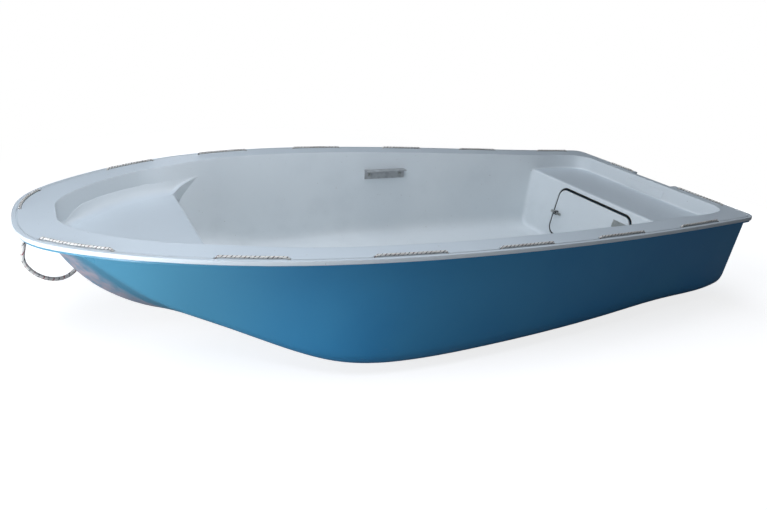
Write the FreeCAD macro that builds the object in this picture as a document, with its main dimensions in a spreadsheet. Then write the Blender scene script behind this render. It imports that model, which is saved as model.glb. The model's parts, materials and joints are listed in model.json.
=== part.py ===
import FreeCAD, Part
import Sketcher
import math
import os

# A small glass-fibre rowing dinghy, lying level with its bow towards +X and port towards +Y.
# z = 0 is the underside of the keel and the bilge runners, x = 0 is half the length.
# All lengths are millimetres and all angles are degrees.

Vector = FreeCAD.Vector
doc = FreeCAD.newDocument("RowingBoat")
sheet = doc.addObject("Spreadsheet::Sheet", "Sizes")

SIZES = (
    # Overall form
    ("hull_length", 2900.0),
    ("beam", 1400.0),
    ("bow_height", 475.0),
    ("overrun", 60.0),
    ("fit_gap", 0.3),
    ("bilge_space", 12.0),
    # Mouldings
    ("hull_skin", 6.0),
    ("liner_skin", 6.0),
    ("flange_skin", 5.0),
    ("lip_depth", 14.0),
    ("lip_skin", 5.0),
    ("strip_depth", 23.0),
    ("strip_skin", 5.0),
    ("bead_width", 13.0),
    ("groove_width", 4.0),
    ("groove_depth", 1.5),
    ("rim_corner_radius", 55.0),
    # Flange widths, seen from above
    ("side_flange", 98.0),
    ("bow_flange", 125.0),
    ("stern_flange", 55.0),
    # Where the blue skin meets the flange, measured in from the flange's edge
    ("side_overhang", 30.0),
    ("bow_overhang", 62.0),
    ("stern_overhang", 30.0),
    # Bottom
    ("keel_depth", 12.0),
    ("keel_width", 46.0),
    ("runner_width", 34.0),
    ("runner_offset", 330.0),
    ("runner_length", 1500.0),
    ("runner_taper", 60.0),
    # Inside moulding
    ("sole_height", 65.0),
    ("bow_seat_height", 385.0),
    ("stern_seat_height", 360.0),
    ("wall_draft", 62.0),
    ("well_draft", 24.0),
    ("transom_draft", 60.0),
    ("stern_corner_radius", 90.0),
    ("sole_softness", 110.0),
    ("bow_shelf_fillet", 32.0),
    ("bow_wall_fillet", 30.0),
    ("bow_edge_fillet", 10.0),
    ("seat_fillet", 12.0),
    ("seat_foot_fillet", 20.0),
    ("bow_seat_length", 580.0),
    ("bow_seat_slope", 60.0),
    ("bow_seat_corner", 130.0),
    ("stern_seat_length", 375.0),
    ("stern_seat_slope", 53.0),
    # Lacing rope through the flange
    ("lacing_diameter", 8.0),
    ("lacing_inset", 22.0),
    ("lacing_gap", 0.7),
    ("lacing_sag", 1.0),
    ("lacing_flat", 100.0),
    ("lacing_tail", 16.0),
    ("lacing_hole_diameter", 14.5),
    ("stopper_diameter", 15.0),
    # Rope that hangs in a loop at the stem
    ("bow_rope_diameter", 14.0),
    ("bow_rope_hole_diameter", 15.5),
    # Motor place in the transom's flange
    ("notch_width", 250.0),
    ("notch_depth", 34.0),
    # Locker door in the stern seat's face
    ("door_width", 490.0),
    ("door_height", 232.0),
    ("door_corner_radius", 40.0),
    ("door_thickness", 6.0),
    ("door_drop", 20.0),
    ("door_proud", 4.0),
    ("door_clearance", 5.0),
    ("seal_width", 8.0),
    ("seal_depth", 6.0),
    ("seal_recess", 3.0),
    # Hinges of the locker door
    ("hinge_length", 36.0),
    ("hinge_door_reach", 104.0),
    ("hinge_frame_reach", 34.0),
    ("hinge_leaf_skin", 1.8),
    ("hinge_pin_diameter", 4.0),
    ("hinge_knuckle_diameter", 9.0),
    ("hinge_axis_inset", 1.5),
    ("hinge_inset", 50.0),
    ("hinge_screw_inset", 14.0),
    ("hinge_screw_pitch", 48.0),
    ("knuckle_gap", 0.5),
    ("screw_diameter", 5.0),
    # Lock of the locker door
    ("latch_inset", 22.0),
    ("latch_drop", 126.0),
    ("latch_diameter", 22.0),
    ("latch_depth", 9.0),
    ("latch_stem_diameter", 9.0),
    ("latch_eye_diameter", 12.0),
    ("latch_eye_wire", 3.5),
    ("tongue_length", 76.0),
    ("tongue_width", 14.0),
    ("tongue_skin", 2.0),
    # Brackets for the centre thwart
    ("bracket_length", 215.0),
    ("bracket_height", 45.0),
    ("bracket_ledge", 38.0),
    ("bracket_skin", 4.0),
    ("bracket_station", -190.0),
    ("bracket_top", 385.0),
    ("bolt_diameter", 8.0),
    ("bolt_inset", 24.0),
    ("bolt_drop", 25.0),
)

# Height of the gunwale along the boat, from bow to stern, as shares of the bow's height.
SHEER_SHARES = ((0.0, 1.0), (0.25, 1.034), (0.5, 1.0), (0.75, 0.942), (1.0, 0.905))

# Plan of the flange's edge: share of the length from the bow, share of the half beam.
GUNWALE_SHARES = (
    (0.004, 0.187), (0.015, 0.313), (0.035, 0.417), (0.07, 0.546), (0.13, 0.703),
    (0.22, 0.861), (0.35, 0.971), (0.5, 1.0), (0.65, 0.974), (0.8, 0.919), (1.0, 0.831),
)

# Underside of the hull on the centre line: share of the length from the bow, share of the
# bow's height.
KEEL_SHARES = (
    (0.0215, 0.96), (0.0445, 0.69), (0.074, 0.452), (0.107, 0.293), (0.142, 0.183),
    (0.19, 0.10), (0.27, 0.045), (0.40, 0.027), (0.65, 0.026), (1.0, 0.034),
)

# The chine: share of the length from the bow, share of the half beam, share of the bow's
# height, and the softness of the bilge as a share of the half beam.
CHINE_SHARES = (
    (0.0215, 0.03, 0.972, 0.01), (0.0345, 0.215, 0.925, 0.03), (0.064, 0.336, 0.857, 0.045),
    (0.093, 0.400, 0.735, 0.05), (0.1186, 0.450, 0.619, 0.05), (0.151, 0.495, 0.507, 0.055),
    (0.219, 0.614, 0.343, 0.08), (0.2655, 0.707, 0.225, 0.11), (0.314, 0.800, 0.131, 0.16),
    (0.362, 0.855, 0.08, 0.20), (0.431, 0.883, 0.057, 0.24), (0.603, 0.871, 0.05, 0.27),
    (0.81, 0.800, 0.059, 0.32), (1.0, 0.729, 0.084, 0.36),
)

# Turns of the tub's rounded stern corners, in degrees, and the places of its other frames, as
# shares of its length.
CORNER_TURNS = (0.0, 18.0, 38.0, 62.0, 90.0)
TUB_FRAME_SHARES = (
    0.10, 0.20, 0.32, 0.44, 0.55, 0.64, 0.72, 0.78, 0.83, 0.856, 0.883, 0.91, 0.94, 0.963, 0.98,
    0.99, 0.998,
)

# The keel's foot: share of the length from the bow, share of the keel's depth that stands out.
KEEL_BAR_SHARES = ((0.47, 1.0), (0.42, 1.0), (0.36, 0.95), (0.30, 0.8), (0.25, 0.55), (0.21, 0.1))

# Middle of the bilge runners, as a share of the half length towards the stern.
RUNNER_STATION_SHARE = 0.24

# Corner points of the bow rope as shares of the half length: along, across and up.
BOW_ROPE_SHARES = (
    (0.9703, -0.0248, 0.3241), (0.9731, -0.0241, 0.2855), (0.9855, -0.0214, 0.2428),
    (0.9917, -0.0207, 0.2062), (0.9697, -0.0207, 0.1731), (0.9379, -0.0262, 0.1517),
    (0.9028, -0.0414, 0.1455), (0.8731, -0.0621, 0.1600), (0.8565, -0.0779, 0.1879),
    (0.8440, -0.0843, 0.2207),
)

# Where each lacing rope dips through the flange, from the stern forward: share of the half
# length from the middle and share of the half beam. The rope lies over the flange after its
# first hole, then under and over it in turn.
LACING_SHARES = {
    "lacing_port": (
        (-0.82, 0.86), (-0.65, 0.90), (-0.49, 0.94), (-0.32, 0.98), (-0.16, 0.98), (0.0, 0.98),
        (0.145, 0.98), (0.315, 0.96), (0.50, 0.90), (0.64, 0.80), (0.823, 0.58), (0.952, 0.35),
    ),
    "lacing_starboard": (
        (-0.93, -0.83), (-0.795, -0.87), (-0.61, -0.92), (-0.46, -0.95), (-0.30, -0.98),
        (-0.155, -0.98), (0.015, -0.98), (0.18, -0.97), (0.345, -0.94), (0.50, -0.90),
        (0.645, -0.80), (0.775, -0.66), (0.935, -0.35), (0.99, -0.10),
    ),
    "lacing_stern_port": ((-1.0, 0.24), (-1.0, 0.60)),
    "lacing_stern_starboard": ((-1.0, -0.20), (-1.0, -0.42)),
}

# Places of the hull's frames, as shares of its length from the transom's face to the stem.
FRAME_SHARES = (0.0, 0.12, 0.25, 0.38, 0.50, 0.60, 0.69, 0.77, 0.83, 0.88, 0.92, 0.95, 0.975, 0.992)


def put_sizes():
    """Write the sizes into the sheet, one row each, and give each its alias."""
    for row, (name, value) in enumerate(SIZES, start=1):
        sheet.set("A%d" % row, name)
        sheet.set("B%d" % row, "%g" % value)
        sheet.setAlias("B%d" % row, name)
    doc.recompute()


put_sizes()


def size(name):
    """Read one size from the sheet."""
    return float(sheet.get(name))


LENGTH = size("hull_length")
HALF_LENGTH = LENGTH / 2
HALF_BEAM = size("beam") / 2
BOW_HEIGHT = size("bow_height")
OVERRUN = size("overrun")
UP = Vector(0, 0, 1)


def station(share):
    """Place along the boat, from a share of the length counted from the bow."""
    return HALF_LENGTH - share * LENGTH


def spline(points):
    """A smooth curve through points."""
    curve = Part.BSplineCurve()
    curve.interpolate(points)
    return curve


def mirrored(points):
    """The same points on the other side of the boat, in reverse order."""
    return [Vector(point.x, -point.y, point.z) for point in reversed(points)]


# Halvings in the search for the point of a curve at a given place.
BISECTIONS = 60


def at_station(curve, x):
    """The point of a curve that runs along the boat where it passes a place along it."""
    low, high = curve.FirstParameter, curve.LastParameter
    rising = curve.value(high).x > curve.value(low).x
    for _ in range(BISECTIONS):
        middle = (low + high) / 2
        if (curve.value(middle).x < x) == rising:
            low = middle
        else:
            high = middle
    return curve.value((low + high) / 2)


def feature(name, shape):
    """Put a finished shape into the document under its own name."""
    item = doc.addObject("Part::Feature", name)
    item.Shape = shape
    item.Label = name
    item.Placement = FreeCAD.Placement()
    return item


# Sheer

SHEER_POINTS = [Vector(station(share), 0, height * BOW_HEIGHT) for share, height in SHEER_SHARES]
SHEER = spline(SHEER_POINTS)


def sheer_height(x):
    """Height of the flange's top at a place along the boat."""
    return at_station(SHEER, x).z


def below_sheer(drop):
    """Everything under the flange's top, or under a line that runs a set drop below it."""
    points = [point - UP * drop for point in SHEER_POINTS]
    front = points[0] + Vector(OVERRUN, 0, 0)
    back = points[-1] - Vector(OVERRUN, 0, 0)
    floor_front = Vector(front.x, 0, -OVERRUN)
    floor_back = Vector(back.x, 0, -OVERRUN)
    wire = Part.Wire([
        Part.makeLine(front, points[0]),
        spline(points).toShape(),
        Part.makeLine(points[-1], back),
        Part.makeLine(back, floor_back),
        Part.makeLine(floor_back, floor_front),
        Part.makeLine(floor_front, front),
    ])
    reach = HALF_BEAM + OVERRUN
    face = Part.Face(wire)
    face.translate(Vector(0, -reach, 0))
    return face.extrude(Vector(0, 2 * reach, 0))


# Plan outlines

PORT_RIM = [Vector(station(share), half * HALF_BEAM, 0) for share, half in reversed(GUNWALE_SHARES)]
RIM = spline(PORT_RIM + [Vector(HALF_LENGTH, 0, 0)] + mirrored(PORT_RIM))
RIM_STEPS = 30
TRACK_STEPS = 1200

# Part of a run that the arc at its end takes up.
ARC_SHARE = 0.45


def rim_points(side_inset, bow_inset):
    """Points of the rim moved inwards, by one amount along the sides and another at the bow."""
    points = []
    span = RIM.LastParameter - RIM.FirstParameter
    for step in range(RIM_STEPS + 1):
        at = RIM.FirstParameter + span * step / RIM_STEPS
        point = RIM.value(at)
        along = RIM.tangent(at)[0]
        inward = Vector(along.y, -along.x, 0)
        near_bow = max(point.x / HALF_LENGTH, 0.0)
        inset = side_inset + (bow_inset - side_inset) * near_bow ** 3
        points.append(point + inward * inset)
    return points


def plan_outline(side_inset, bow_inset, stern_inset, height):
    """A closed outline inside the rim, with a straight edge across the stern."""
    points = rim_points(side_inset, bow_inset)
    stern = -HALF_LENGTH + stern_inset
    first, second = points[0], points[1]
    port = first + (second - first) * ((stern - first.x) / (second.x - first.x))
    kept = [point for point in points if point.x > stern + OVERRUN]
    outline = [port] + kept + [Vector(port.x, -port.y, 0)]
    outline = [Vector(point.x, point.y, height) for point in outline]
    return Part.Wire([spline(outline).toShape(), Part.makeLine(outline[-1], outline[0])])


def stern_corners(shape, rise):
    """The two edges that rise at the stern corners of a prism or a tub."""
    found = []
    for edge in shape.Edges:
        box = edge.BoundBox
        if box.ZLength > rise and abs(box.YMin) > HALF_BEAM / 3 and box.XMax < 0:
            found.append(edge)
    return found


def rim_prism(inset):
    """The plan of the flange as an upright prism, with rounded stern corners."""
    outline = plan_outline(inset, inset, inset, -OVERRUN)
    prism = Part.Face(outline).extrude(UP * (BOW_HEIGHT + 3 * OVERRUN))
    return prism.makeFillet(size("rim_corner_radius") - inset, stern_corners(prism, BOW_HEIGHT))


# Hull moulding

KEEL = spline([Vector(station(share), 0, rise * BOW_HEIGHT) for share, rise in KEEL_SHARES])
CHINE = spline([
    Vector(station(share), half * HALF_BEAM, rise * BOW_HEIGHT)
    for share, half, rise, soft in CHINE_SHARES
])
SOFTNESS = spline([
    Vector(station(share), soft * HALF_BEAM, 0) for share, half, rise, soft in CHINE_SHARES
])
HULL_STERN = -HALF_LENGTH + size("stern_overhang")
HULL_BOW = station(KEEL_SHARES[0][0])


TOP_LINES = {}


def top_line(inward):
    """Plan curve where the skin of the hull meets the flange, on the port side."""
    if inward not in TOP_LINES:
        side = size("side_overhang") + inward
        bow = size("bow_overhang") + inward
        points = [point for point in rim_points(side, bow) if point.y > -OVERRUN / 2]
        TOP_LINES[inward] = spline(points)
    return TOP_LINES[inward]


def half_section(x, inward, raise_top):
    """Poles of half a frame, from the keel over the chine to the flange."""
    keel_point = at_station(KEEL, x + inward)
    chine_point = at_station(CHINE, x + inward)
    soft = at_station(SOFTNESS, x).y
    top_point = at_station(top_line(inward), x)
    keel = Vector(x, 0, keel_point.z + inward)
    chine = Vector(x, max(chine_point.y - inward, inward), chine_point.z + inward)
    top = Vector(x, max(top_point.y, chine.y + inward / 2), sheer_height(x) + raise_top)
    to_keel = keel - chine
    to_top = top - chine
    soft_keel = min(soft, to_keel.Length / 2)
    soft_top = min(soft, to_top.Length / 2)
    return [
        keel,
        chine + to_keel.normalize() * soft_keel,
        chine,
        chine + to_top.normalize() * soft_top,
        top,
    ]


def section_curve(poles):
    """A smooth curve that a row of five poles pulls along."""
    curve = Part.BSplineCurve()
    curve.buildFromPolesMultsKnots(poles, (3, 1, 1, 3), (0, 1, 2, 3), False, 2)
    return curve


def section_edge(poles):
    """The edge of such a curve."""
    return section_curve(poles).toShape()


def section_wire(x, inward, raise_top):
    """One closed frame: port half, line across the top, starboard half."""
    port = half_section(x, inward, raise_top)
    starboard = mirrored(port)
    across = Part.makeLine(port[-1], starboard[0])
    return Part.Wire([section_edge(port), across, section_edge(starboard)])


def hull_body(inward, raise_top):
    """The solid inside the hull's outer surface, or inside the surface one skin further in."""
    start = HULL_STERN + inward
    end = HULL_BOW - 3 * inward
    wires = []
    for share in FRAME_SHARES:
        wires.append(section_wire(start + (end - start) * share, inward, raise_top))
    return Part.makeLoft(wires, True, False)


SKIN = size("hull_skin")

# How far the keel and the runners are rooted in the hull.
BAR_ROOT = 3 * SKIN


def bar_along(profile, width, offset):
    """A bar with a side view drawn in the XZ plane, centred at an offset from the centre line."""
    points = [Vector(x, offset - width / 2, z) for x, z in profile]
    face = Part.Face(Part.makePolygon(points + points[:1]))
    return face.extrude(Vector(0, width, 0))


def keel_bar():
    """The central keel, which fades into the stem."""
    width = size("keel_width")
    points = []
    for share, fade in KEEL_BAR_SHARES:
        x = station(share)
        points.append(Vector(x, -width / 2, max(at_station(KEEL, x).z - size("keel_depth") * fade, 0.0)))
    level = Vector(HULL_STERN, -width / 2, 0.0)
    rise = UP * BAR_ROOT
    outline = Part.Wire([
        Part.makeLine(level, points[0]),
        spline(points).toShape(),
        Part.makeLine(points[-1], points[-1] + rise),
        Part.makeLine(points[-1] + rise, points[0] + rise),
        Part.makeLine(points[0] + rise, level + rise),
        Part.makeLine(level + rise, level),
    ])
    return Part.Face(outline).extrude(Vector(0, width, 0))


def runner_bar(side):
    """One bilge runner, with its ends tapered up into the bottom."""
    length = size("runner_length")
    taper = size("runner_taper")
    rise = BAR_ROOT
    centre = -HALF_LENGTH * RUNNER_STATION_SHARE
    front, back = centre + length / 2, centre - length / 2
    profile = [(back + taper, 0.0), (front - taper, 0.0), (front, rise), (front, 2 * rise),
               (back, 2 * rise), (back, rise)]
    return bar_along(profile, size("runner_width"), side * size("runner_offset"))



def notch_tool(extra):
    """The part of the transom's flange that is cut away for a motor's clamps."""
    depth = size("notch_depth")
    width = size("notch_width") + 2 * extra
    box = Part.makeBox(
        depth + OVERRUN, width, BOW_HEIGHT,
        Vector(-HALF_LENGTH - OVERRUN, -width / 2, BOW_HEIGHT / 2),
    )
    return box


def lacing_track():
    """Closed plan curve of the lacing, inside the flange's edge, starting at the transom."""
    inset = size("lacing_inset")
    outline = [face for face in rim_prism(inset).Faces if face.BoundBox.ZMax < 0][0].OuterWire
    return outline


LACING_TRACK = lacing_track()
TRACK_POINTS = LACING_TRACK.discretize(Number=TRACK_STEPS)


def track_distances():
    """Running length along the lacing's track at each of its points."""
    total = 0.0
    lengths = [0.0]
    for before, after in zip(TRACK_POINTS, TRACK_POINTS[1:]):
        total += (after - before).Length
        lengths.append(total)
    return lengths


TRACK_LENGTHS = track_distances()
TRACK_TOTAL = TRACK_LENGTHS[-1]


def on_track(distance):
    """Point of the track at a running length, which may pass the start."""
    wanted = distance % TRACK_TOTAL
    low, high = 0, len(TRACK_LENGTHS) - 1
    while high - low > 1:
        middle = (low + high) // 2
        if TRACK_LENGTHS[middle] <= wanted:
            low = middle
        else:
            high = middle
    part = (wanted - TRACK_LENGTHS[low]) / (TRACK_LENGTHS[high] - TRACK_LENGTHS[low])
    point = TRACK_POINTS[low] + (TRACK_POINTS[high] - TRACK_POINTS[low]) * part
    return Vector(point.x, point.y, sheer_height(point.x))


def track_distance(along_share, across_share):
    """Running length of the track's point that is nearest to a place on the plan."""
    spot = Vector(along_share * HALF_LENGTH, across_share * HALF_BEAM, TRACK_POINTS[0].z)
    nearest = min(range(len(TRACK_POINTS)), key=lambda at: (TRACK_POINTS[at] - spot).Length)
    return TRACK_LENGTHS[nearest]


def lacing_dips(shares):
    """Running lengths of the dips of one rope, rising from the first."""
    found = [track_distance(*share) for share in shares]
    step = TRACK_TOTAL / 2
    forward = (found[1] - found[0]) % TRACK_TOTAL < step
    ordered = [found[0]]
    for distance in found[1:]:
        move = (distance - ordered[-1]) % TRACK_TOTAL
        ordered.append(ordered[-1] + (move if forward else move - TRACK_TOTAL))
    return ordered


def lacing_holes():
    """Upright holes for both ropes, through the flange and the liner."""
    drills = []
    for shares in LACING_SHARES.values():
        for distance in lacing_dips(shares):
            point = on_track(distance) - UP * OVERRUN / 2
            drills.append(Part.makeCylinder(size("lacing_hole_diameter") / 2, OVERRUN, point, UP))
    return Part.makeCompound(drills)


def stretch(begin, end, height):
    """Points of a rope between two places of the track, close enough to follow its bend."""
    chord = (on_track(begin) + on_track(end)) / 2
    sag = (on_track((begin + end) / 2) - chord).Length
    count = math.ceil(math.sqrt(sag / size("lacing_sag")))
    count = max(count, 1)
    points = [on_track(begin) + UP * height]
    for step in range(1, count + 1):
        point = on_track(begin + (end - begin) * step / count) + UP * height
        if len(points) > 1:
            arriving = points[-1] - points[-2]
            if arriving.getAngle(point - points[-1]) < size("lacing_sag") / size("lacing_flat"):
                points.pop()
        points.append(point)
    return points


def lacing_route(shares):
    """Corner points of one rope: over the flange after its first hole, then under it, in turn."""
    radius = size("lacing_diameter") / 2
    high = radius + size("lacing_gap")
    low = -(size("liner_skin") + size("flange_skin") + high)
    dips = lacing_dips(shares)
    way = math.copysign(size("lacing_tail"), dips[-1] - dips[0])
    deep = -(size("liner_skin") + size("flange_skin") + size("lacing_gap"))
    deep -= size("stopper_diameter") / 2
    points = [on_track(dips[0] - way) + UP * deep]
    height = low
    for dip, following in zip(dips, dips[1:]):
        points.append(on_track(dip) + UP * height)
        height = high + low - height
        points += stretch(dip, following, height)[:-1]
    points.append(on_track(dips[-1]) + UP * height)
    points.append(on_track(dips[-1]) + UP * low)
    points.append(on_track(dips[-1] + way) + UP * deep)
    return points


def rounded_path(points):
    """Straight runs joined by tangent arcs, with the radii of the arcs."""
    edges = []
    radii = []
    start = points[0]
    for before, corner, after in zip(points, points[1:], points[2:]):
        arriving = corner - before
        leaving = after - corner
        half_turn = arriving.getAngle(leaving) / 2
        reach = ARC_SHARE * min(arriving.Length, leaving.Length)
        radius = reach / math.tan(half_turn)
        arriving.normalize()
        leaving.normalize()
        inward = leaving - arriving
        inward.normalize()
        middle = corner + inward * (radius / math.cos(half_turn) - radius)
        arc_start = corner - arriving * reach
        arc_end = corner + leaving * reach
        edges.append(Part.makeLine(start, arc_start))
        edges.append(Part.Arc(arc_start, middle, arc_end).toShape())
        radii.append(radius)
        start = arc_end
    edges.append(Part.makeLine(start, points[-1]))
    return Part.Wire(edges), radii


def make_rope(points, diameter):
    """A round rope along straight runs with tangent arcs."""
    path, radii = rounded_path(points)
    ring = Part.makeCircle(diameter / 2, points[0], points[1] - points[0])
    rope = path.makePipe(Part.Face(Part.Wire(ring)))
    length = path.Length / 1000
    print("rope %.3f m, smallest bend %.1f mm" % (length, min(radii)))
    return rope


def make_lacing(shares):
    """One lacing rope with a stopper knot at each end, under the flange."""
    points = lacing_route(shares)
    rope = make_rope(points, size("lacing_diameter"))
    knots = [Part.makeSphere(size("stopper_diameter") / 2, end) for end in (points[0], points[-1])]
    return rope.fuse(knots)


def bow_rope_route():
    """Corner points of the rope that hangs in a loop at the stem."""
    return [Vector(*(share * HALF_LENGTH for share in spot)) for spot in BOW_ROPE_SHARES]


# How far back along the bow rope its holes are drilled.
BOW_DRILL_REACH = 3 * size("bow_rope_diameter")


def bow_rope_holes():
    """Round holes for the bow rope's ends, in the flange and in the hull's starboard bow."""
    points = bow_rope_route()
    drills = []
    for end, following in ((points[0], points[1]), (points[-1], points[-2])):
        way = end - following
        way.normalize()
        start = end - way * BOW_DRILL_REACH
        reach = BOW_DRILL_REACH + size("bow_rope_diameter")
        drills.append(Part.makeCylinder(size("bow_rope_hole_diameter") / 2, reach, start, way))
    return drills


def make_hull():
    """The blue moulding: skin, keel, runners, transom and the flange that carries the liner."""
    liner_skin = size("liner_skin")
    gap = size("fit_gap")
    outer = hull_body(0.0, 0.0)
    inner = hull_body(SKIN, OVERRUN)
    solid = outer.fuse([keel_bar(), runner_bar(1), runner_bar(-1)])
    edge = size("lip_skin") + gap
    flange = rim_prism(edge).common(below_sheer(liner_skin)).cut(below_sheer(size("strip_depth")))
    under = rim_prism(edge + size("strip_skin"))
    flange = flange.cut(under.common(below_sheer(liner_skin + size("flange_skin"))))
    flange = flange.cut(notch_tool(gap + size("lip_skin"))).cut(lacing_holes())
    solid = solid.common(below_sheer(liner_skin)).fuse(flange)
    return solid.cut(inner).cut(bow_rope_holes()).removeSplitter()


# Inside moulding

SOLE = size("sole_height")
FACE_TOP_X = -HALF_LENGTH + size("stern_seat_length")
FACE_SLOPE = size("stern_seat_slope") / (size("stern_seat_height") - SOLE)


def tub_line(wall):
    """Plan curve of the hollow at the flange, on the port side, one wall further out if asked."""
    key = "tub %g" % wall
    if key not in TOP_LINES:
        points = rim_points(size("side_flange") - wall, size("bow_flange") - wall)
        TOP_LINES[key] = spline([point for point in points if point.y > -OVERRUN / 2])
    return TOP_LINES[key]


def hull_breadth(x, z):
    """Half-breadth of the hull's outside at a place and height."""
    curve = section_curve(half_section(x, 0.0, 0.0))
    low, high = curve.FirstParameter, curve.LastParameter
    for _ in range(BISECTIONS):
        middle = (low + high) / 2
        if curve.value(middle).z < z:
            low = middle
        else:
            high = middle
    return curve.value((low + high) / 2).y


def well_share(x):
    """How far a frame belongs to the bow well: 0 in the cockpit, 1 over the bow seat."""
    start = HALF_LENGTH - size("bow_seat_length")
    share = min(max((x - start) / size("bow_seat_corner"), 0.0), 1.0)
    return share * share * (3 - 2 * share)


def tub_section(x, wall, narrowing, lean):
    """Poles of half a frame of the hollow: middle of the sole, its rounded corner, the wall."""
    clear = SKIN + size("bilge_space") + size("liner_skin") - wall
    floor = SOLE - wall
    chine = at_station(CHINE, x + clear)
    middle_z = max(floor, at_station(KEEL, x + clear).z + clear)
    top_y = at_station(tub_line(wall), x).y - narrowing
    top_z = sheer_height(x) + OVERRUN
    corner_y = min(top_y - size("wall_draft"), chine.y - clear)
    corner_z = max(floor, chine.z + clear, middle_z)
    share = well_share(x)
    if share > 0:
        seat = size("bow_seat_height") - wall
        well_y = min(top_y - size("well_draft"), hull_breadth(x + clear, seat) - clear)
        corner_y += (max(well_y, size("bilge_space")) - corner_y) * share
        corner_z += (seat - size("bow_shelf_fillet") - corner_z) * share
        middle_z = min(middle_z, corner_z)
    middle = Vector(x + lean, 0, middle_z)
    corner = Vector(x + lean * (top_z - corner_z) / (top_z - middle_z), corner_y, corner_z)
    top = Vector(x, top_y, top_z)
    to_middle = middle - corner
    to_top = top - corner
    soft = size("sole_softness")
    soft += (size("bow_shelf_fillet") - soft) * share
    soft_middle = min(soft, to_middle.Length / 2)
    soft_top = min(soft, to_top.Length / 2)
    return [
        middle,
        corner + to_middle.normalize() * soft_middle,
        corner,
        corner + to_top.normalize() * soft_top,
        top,
    ]


def tub_body(wall):
    """The whole hollow of the boat down to the sole, grown outwards by a wall's thickness."""
    start = -HALF_LENGTH + size("stern_flange") - wall
    end = HALF_LENGTH - size("bow_flange") + wall - 2 * size("fit_gap")
    radius = size("stern_corner_radius") + wall
    rows = []
    for turn in CORNER_TURNS:
        angle = math.radians(turn)
        x = start + radius * (1 - math.cos(angle))
        rows.append((x, radius * (1 - math.sin(angle)), size("transom_draft") * math.cos(angle)))
    for share in TUB_FRAME_SHARES:
        rows.append((start + (end - start) * share, 0.0, 0.0))
    wires = []
    for x, narrowing, lean in rows:
        port = tub_section(x, wall, narrowing, lean)
        starboard = mirrored(port)
        across = Part.makeLine(port[-1], starboard[0])
        wires.append(Part.Wire([section_edge(port), across, section_edge(starboard)]))
    return Part.makeLoft(wires, True, False)


# The bow seat's corner, in corner lengths: how far inside the wall it starts, its bulge aft and
# outwards, and how far out it ends.
CORNER_START_SHARE = 1.25
CORNER_BULGE_SHARES = (0.3, 0.72)
CORNER_END_SHARE = 1.05


def bow_block(wall):
    """What fills the tub under the bow seat, with corners that sweep aft along the sides."""
    height = size("bow_seat_height") - wall
    front = HALF_LENGTH + OVERRUN
    corner = size("bow_seat_corner")
    slope = size("bow_seat_slope") / (size("bow_seat_height") - SOLE)

    def outline(z):
        face_x = HALF_LENGTH - size("bow_seat_length") + wall
        face_x -= slope * (size("bow_seat_height") - z)
        wall_y = at_station(top_line(SKIN), face_x).y
        turn = wall_y - corner * CORNER_START_SHARE
        bulge_x = face_x - corner * CORNER_BULGE_SHARES[0]
        bulge_y = turn + corner * CORNER_BULGE_SHARES[1]
        end_y = turn + corner * CORNER_END_SHARE
        reach = wall_y + OVERRUN
        back = face_x - corner
        points = [Vector(face_x, turn, z), Vector(face_x, -turn, z)]
        low_arc = Part.Arc(
            Vector(face_x, -turn, z),
            Vector(bulge_x, -bulge_y, z),
            Vector(back, -end_y, z),
        ).toShape()
        high_arc = Part.Arc(
            Vector(back, end_y, z),
            Vector(bulge_x, bulge_y, z),
            Vector(face_x, turn, z),
        ).toShape()
        rest = Part.makePolygon([
            Vector(back, -end_y, z), Vector(back, -reach, z), Vector(front, -reach, z),
            Vector(front, reach, z), Vector(back, reach, z), Vector(back, end_y, z),
        ])
        return Part.Wire([Part.makeLine(*points), low_arc] + rest.Edges + [high_arc])

    return Part.makeLoft([outline(-OVERRUN), outline(height)], True, True)


def stern_block(wall):
    """What fills the tub under the stern seat, behind its sloping face."""
    height = size("stern_seat_height") - wall
    face_x = FACE_TOP_X - wall
    foot_x = face_x + FACE_SLOPE * (size("stern_seat_height") + OVERRUN)
    top_x = face_x + FACE_SLOPE * wall
    back = -HALF_LENGTH - OVERRUN
    profile = [(back, -OVERRUN), (foot_x, -OVERRUN), (top_x, height), (back, height)]
    return bar_along(profile, 4 * HALF_BEAM, 0.0)


FACE_TILT = math.atan(FACE_SLOPE)
FACE_RIGHT = Vector(0, 1, 0)
FACE_UP = Vector(-math.sin(FACE_TILT), 0, math.cos(FACE_TILT))
FACE_OUT = Vector(math.cos(FACE_TILT), 0, math.sin(FACE_TILT))
FACE_TOP = Vector(FACE_TOP_X, 0, size("stern_seat_height"))
OPENING_MARGIN = size("door_clearance") + size("seal_width")
DOOR_CENTRE_DROP = size("door_drop") + OPENING_MARGIN + size("door_height") / 2


def face_place(right, up, out):
    """Placement on the seat's face, measured from the door's middle."""
    base = FACE_TOP + FACE_RIGHT * right + FACE_UP * (up - DOOR_CENTRE_DROP) + FACE_OUT * out
    return FreeCAD.Placement(base, FreeCAD.Rotation(FACE_RIGHT, FACE_UP, FACE_OUT, "ZXY"))


def rounded_prism(margin, low, high):
    """A rounded rectangle around the door's outline, grown by a margin, between two levels."""
    width = size("door_width") + 2 * margin
    height = size("door_height") + 2 * margin
    box = Part.makeBox(width, height, high - low, Vector(-width / 2, -height / 2, low))
    uprights = [edge for edge in box.Edges if edge.BoundBox.ZLength > (high - low) / 2]
    return box.makeFillet(size("door_corner_radius") + margin, uprights)


def door_opening():
    """The hole for the locker door through the seat's face."""
    tool = rounded_prism(OPENING_MARGIN, -OVERRUN / 2, OVERRUN / 2)
    tool.Placement = face_place(0.0, 0.0, 0.0)
    return tool


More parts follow.
